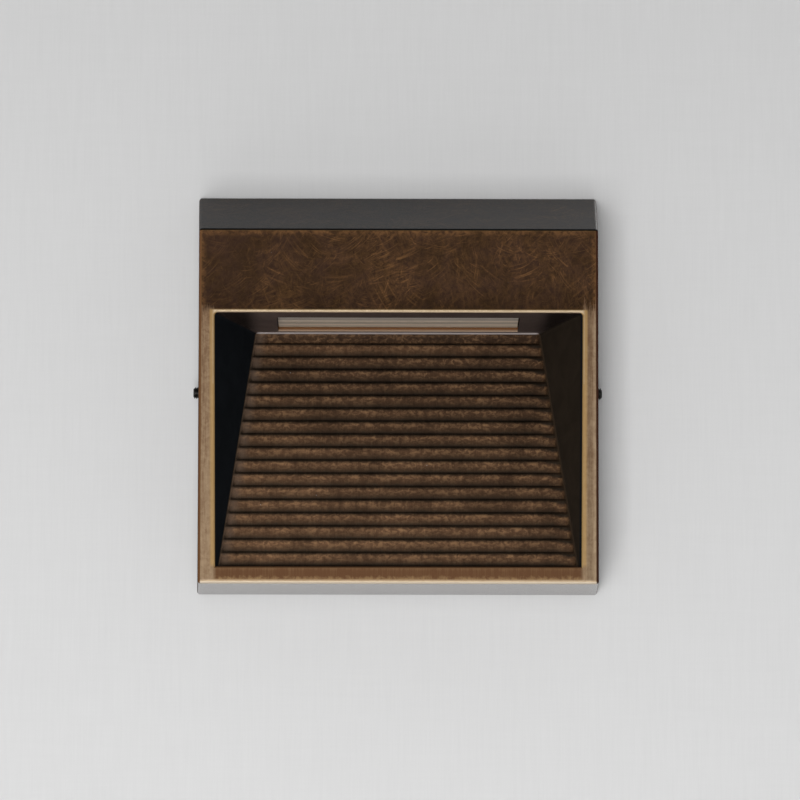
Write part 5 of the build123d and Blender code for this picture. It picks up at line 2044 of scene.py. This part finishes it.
@dataclass
class Studio:
    """The pale wall and floor, a large soft key light from the lower left, and grey surroundings."""

    wall_width: float = 6.0
    wall_height: float = 4.4
    wall_gap: float = 0.0003
    wall_lift: float = 0.4
    wall_tone: Colour = (0.652, 0.652, 0.652)
    floor_depth: float = 1.7
    floor_size: float = 40.0
    key_place: tuple[float, float, float] = (-0.33, -2.9, -0.80)
    key_size: tuple[float, float] = (0.95, 1.35)
    key_power: float = 62.0
    fill_place: tuple[float, float, float] = (-0.1, -3.2, 0.15)
    fill_size: tuple[float, float] = (0.7, 0.7)
    fill_power: float = 12.0
    back_place: tuple[float, float, float] = (1.2, 3.0, 1.4)
    back_size: tuple[float, float] = (1.2, 1.2)
    back_power: float = 45.0
    ambient: float = 0.18
    surround: float = 0.55
    fine_spacing: float = 0.5
    fine_length: float = 18.0
    weave_spacing: float = 0.8
    weave_length: float = 22.0
    fine_shade: Span = (0.985, 1.01)
    weave_shade: Span = (-0.006, 0.006)
    painted_light_down_up: Span = (1.05, 0.93)
    painted_light_left_right: Span = (1.01, 0.99)
    wall_rough: float = 0.7
    floor_rough: float = 0.8
    floor_patch: float = 900.0
    floor_shade: Span = (0.98, 1.0)
    floor_glow: float = 0.4

    def build(self) -> None:
        """Makes the wall, the floor, the lamps and the world."""
        wall = self.sheet("studio_wall", Vector((0, self.wall_gap, self.wall_lift)),
                          Vector((self.wall_width / 2, 0, 0)), Vector((0, 0, self.wall_height / 2)))
        wall.data.materials.append(self.wall_finish())
        floor = self.sheet("studio_floor", Vector((0, 0, -self.floor_depth)),
                           Vector((self.floor_size / 2, 0, 0)), Vector((0, self.floor_size / 2, 0)))
        floor.data.materials.append(self.floor_finish())
        self.lamp("key_lamp", self.key_place, self.key_size, self.key_power)
        self.lamp("fill_lamp", self.fill_place, self.fill_size, self.fill_power)
        self.lamp("back_lamp", self.back_place, self.back_size, self.back_power)
        world = bpy.data.worlds.new("studio_world")
        world.use_nodes = True
        air = NodeGraph(world.node_tree)
        rays = air.add("ShaderNodeLightPath").outputs
        mirrored = air.math("MAXIMUM", rays["Is Glossy Ray"], rays["Is Transmission Ray"])
        seen = air.math("MAXIMUM", rays["Is Camera Ray"], mirrored)
        background = world.node_tree.nodes["Background"]
        air.feed(background.inputs["Strength"], air.pick(seen, self.ambient, self.surround))
        background.inputs["Color"].default_value = (1.0, 1.0, 1.0, 1.0)
        bpy.context.scene.world = world

    @staticmethod
    def sheet(name: str, centre: Vector, across: Vector, along: Vector) -> bpy.types.Object:
        """A flat stage object.

        Args:
            name: the object's name.
            centre: its middle.
            across: from its middle to the middle of one edge.
            along: from its middle to the middle of the next edge.

        Returns:
            The new object.
        """
        mesh = bpy.data.meshes.new(name)
        points = [centre - across - along, centre + across - along, centre + across + along,
                  centre - across + along]
        mesh.from_pydata(points, [], [(0, 1, 2, 3)])
        made = bpy.data.objects.new(name, mesh)
        bpy.context.scene.collection.objects.link(made)
        return made

    def wall_finish(self) -> bpy.types.Material:
        """Pale finely brushed wall, seen from its front alone, with painted light that brightens it towards
        the bottom and the left.
        """
        look = Surface("studio_wall", Roughness=self.wall_rough)
        x, _, z = look.separate(look.place)
        lines = look.effect(straight_brushing(), Flat=look.combine(x, z, 0.0),
                            Line_Spacing=self.fine_spacing,
                            Line_Length=self.fine_length).outputs[0]
        weave = look.effect(straight_brushing(), Flat=look.combine(z, x, 0.0),
                            Line_Spacing=self.weave_spacing,
                            Line_Length=self.weave_length).outputs[0]
        tone = look.math("ADD", look.vary(lines, *self.fine_shade), look.vary(weave, *self.weave_shade))
        # Painted light: brighter towards the bottom and the left.
        tone = look.product(tone, look.remap(z, -125.0, 125.0, *self.painted_light_down_up),
                            look.remap(x, -125.0, 125.0, *self.painted_light_left_right))
        look.set(Base_Color=look.shaded(self.wall_tone, tone))
        ending = look.tree.nodes["Material Output"]
        clear = look.add("ShaderNodeBsdfTransparent")
        back = look.add("ShaderNodeNewGeometry").outputs["Backfacing"]
        passing = look.math("MAXIMUM", back, look.add("ShaderNodeLightPath").outputs["Is Shadow Ray"])
        mixed = look.add("ShaderNodeMixShader", None, Fac=passing)
        look.tree.links.new(look.shader.outputs[0], mixed.inputs[1])
        look.tree.links.new(clear.outputs[0], mixed.inputs[2])
        look.tree.links.new(mixed.outputs[0], ending.inputs["Surface"])
        return look.material

    def floor_finish(self) -> bpy.types.Material:
        """Pale matte floor."""
        look = Surface("studio_floor", Roughness=self.floor_rough, Emission_Color=(1.0, 1.0, 1.0, 1.0))
        clouds = look.effect(patina_clouds(), Place=look.place, Patch_Size=self.floor_patch).outputs[0]
        look.set(Base_Color=look.shaded(self.wall_tone, look.vary(clouds, *self.floor_shade)),
                 Emission_Strength=look.product(look.add("ShaderNodeLightPath").outputs["Is Camera Ray"],
                                                self.floor_glow))
        return look.material

    @staticmethod
    def lamp(name: str, place: tuple[float, float, float], size: tuple[float, float], power: float) -> None:
        """Adds a large area lamp that faces the object."""
        lamp = bpy.data.objects.new(name, bpy.data.lights.new(name, "AREA"))
        lamp.data.shape = "RECTANGLE"
        lamp.data.size = size[0]
        lamp.data.size_y = size[1]
        lamp.data.energy = power
        lamp.location = place
        lamp.rotation_euler = (-lamp.location).to_track_quat("-Z", "Y").to_euler()
        bpy.context.scene.collection.objects.link(lamp)


def finishes(form: CastForm, ribs: RibbedRamp) -> dict[str, bpy.types.Material]:
    """The finish of every material slot of the record.

    Args:
        form: the cast form that the bronze refers to.
        ribs: the ramp whose steps the bronze refers to.

    Returns:
        The materials by slot.
    """
    made = {
        "bronze_frame": BronzeFrame(form).build(),
        "bronze_ramp": BronzeRamp(form, ribs).build(),
        "clear_lens": LensFinish(form).build(),
    }
    plain = [
        MetalFinish("sheet_steel", (0.50, 0.50, 0.49), Working.BRUSHED),
        MetalFinish("steel_screws", (0.62, 0.62, 0.60), Working.TURNED, 0.3),
        MetalFinish("heat_aluminium", (0.66, 0.66, 0.67), Working.MILLED, 0.38),
        MetalFinish("cover_aluminium", (0.46, 0.46, 0.45), Working.BLASTED, 0.48),
        MetalFinish("zinc_bracket", (0.60, 0.61, 0.62), Working.SPANGLED, 0.36),
        MetalFinish("green_screw", (0.03, 0.30, 0.10), Working.TURNED, 0.34),
        MetalFinish("black_oxide", (0.018, 0.017, 0.016), Working.TURNED, 0.3),
        MouldedFinish("silicone", (0.50, 0.50, 0.48), Moulding.RUBBER, 0.55),
        MouldedFinish("white_board", (0.80, 0.80, 0.78), Moulding.SOLDER_MASK, 0.28),
        MouldedFinish("led_phosphor", (0.85, 0.62, 0.10), Moulding.PLASTIC, 0.3),
        MouldedFinish("connector_plastic", (0.80, 0.77, 0.68), Moulding.PLASTIC, 0.42),
        MouldedFinish("thermal_silicone", (0.36, 0.44, 0.56), Moulding.RUBBER, 0.6),
        MouldedFinish("driver_plastic", (0.74, 0.74, 0.72), Moulding.PLASTIC, 0.5),
        MouldedFinish("red_insulation", (0.46, 0.02, 0.015), Moulding.INSULATION, 0.34),
        MouldedFinish("black_insulation", (0.02, 0.02, 0.021), Moulding.INSULATION, 0.34),
        MouldedFinish("black_rubber", (0.02, 0.02, 0.02), Moulding.RUBBER, 0.6),
        MouldedFinish("foam_rubber", (0.028, 0.028, 0.03), Moulding.FOAM, 0.75),
        MouldedFinish("nylon", (0.74, 0.72, 0.64), Moulding.PLASTIC, 0.4),
    ]
    for finish in plain:
        made[finish.name] = finish.build()
    return made


def dress_nodes(made: dict[str, bpy.types.Material]) -> None:
    """Gives each CAD node that still shows the finish of its slot."""
    slots = {part["node"]: part["material_slot"] for part in frame["record"]["subparts"]}
    for name, node in frame["nodes"].items():
        if not node.hide_render:
            for slot in node.material_slots:
                slot.material = made[slots[name]]
            log.info("%s keeps its form in %s", name, slots[name])


def main() -> None:
    """Builds the looks in order and reports each piece."""
    logging.basicConfig(level=logging.INFO, format="%(name)s: %(message)s")
    bpy.context.scene.view_settings.view_transform = "Standard"
    PhotoCamera().build()
    Studio().build()
    form = CastForm()
    ramp = RibbedRamp(form)
    made = finishes(form, ramp)
    pieces = [ramp.build(made["bronze_ramp"], "bronze_ramp")]
    chip_frame = MouldedFinish("chip_frame", (0.82, 0.82, 0.80), Moulding.PLASTIC, 0.35).build()
    pieces.append(LedChips(form).build(chip_frame, made["led_phosphor"], "led_phosphor"))
    up = form.ceiling_frame.col[2].to_3d()
    screws = [
        ("reflector_screws", "housing", ramp.plane.col[2].to_3d()),
        ("lens_frame_screws", "housing", up),
        ("board_screws", "housing", -up),
        ("driver_screws", "housing", Vector((0, -1, 0))),
        ("rear_cover_screws", "housing", Vector((0, 1, 0))),
        ("ground_screw", "wall_mount", Vector((0, -1, 0))),
    ]
    for node, body, axis in screws:
        slot = "green_screw" if node == "ground_screw" else "steel_screws"
        pieces.append(PanScrews(node, body, axis).build(made[slot], slot))
    for side in ("left", "right"):
        screw = SetScrew("set_screw_" + side, side + "_screw")
        pieces.append(screw.build(made["black_oxide"], "black_oxide"))
    for piece in pieces:
        low = [round(value / MM, 2) for value in map(min, zip(*(v.co for v in piece.data.vertices)))]
        high = [round(value / MM, 2) for value in map(max, zip(*(v.co for v in piece.data.vertices)))]
        log.info("%s: %d faces, from %s to %s mm", piece.name, len(piece.data.polygons), low, high)
    dress_nodes(made)


if __name__ == "__main__":
    main()
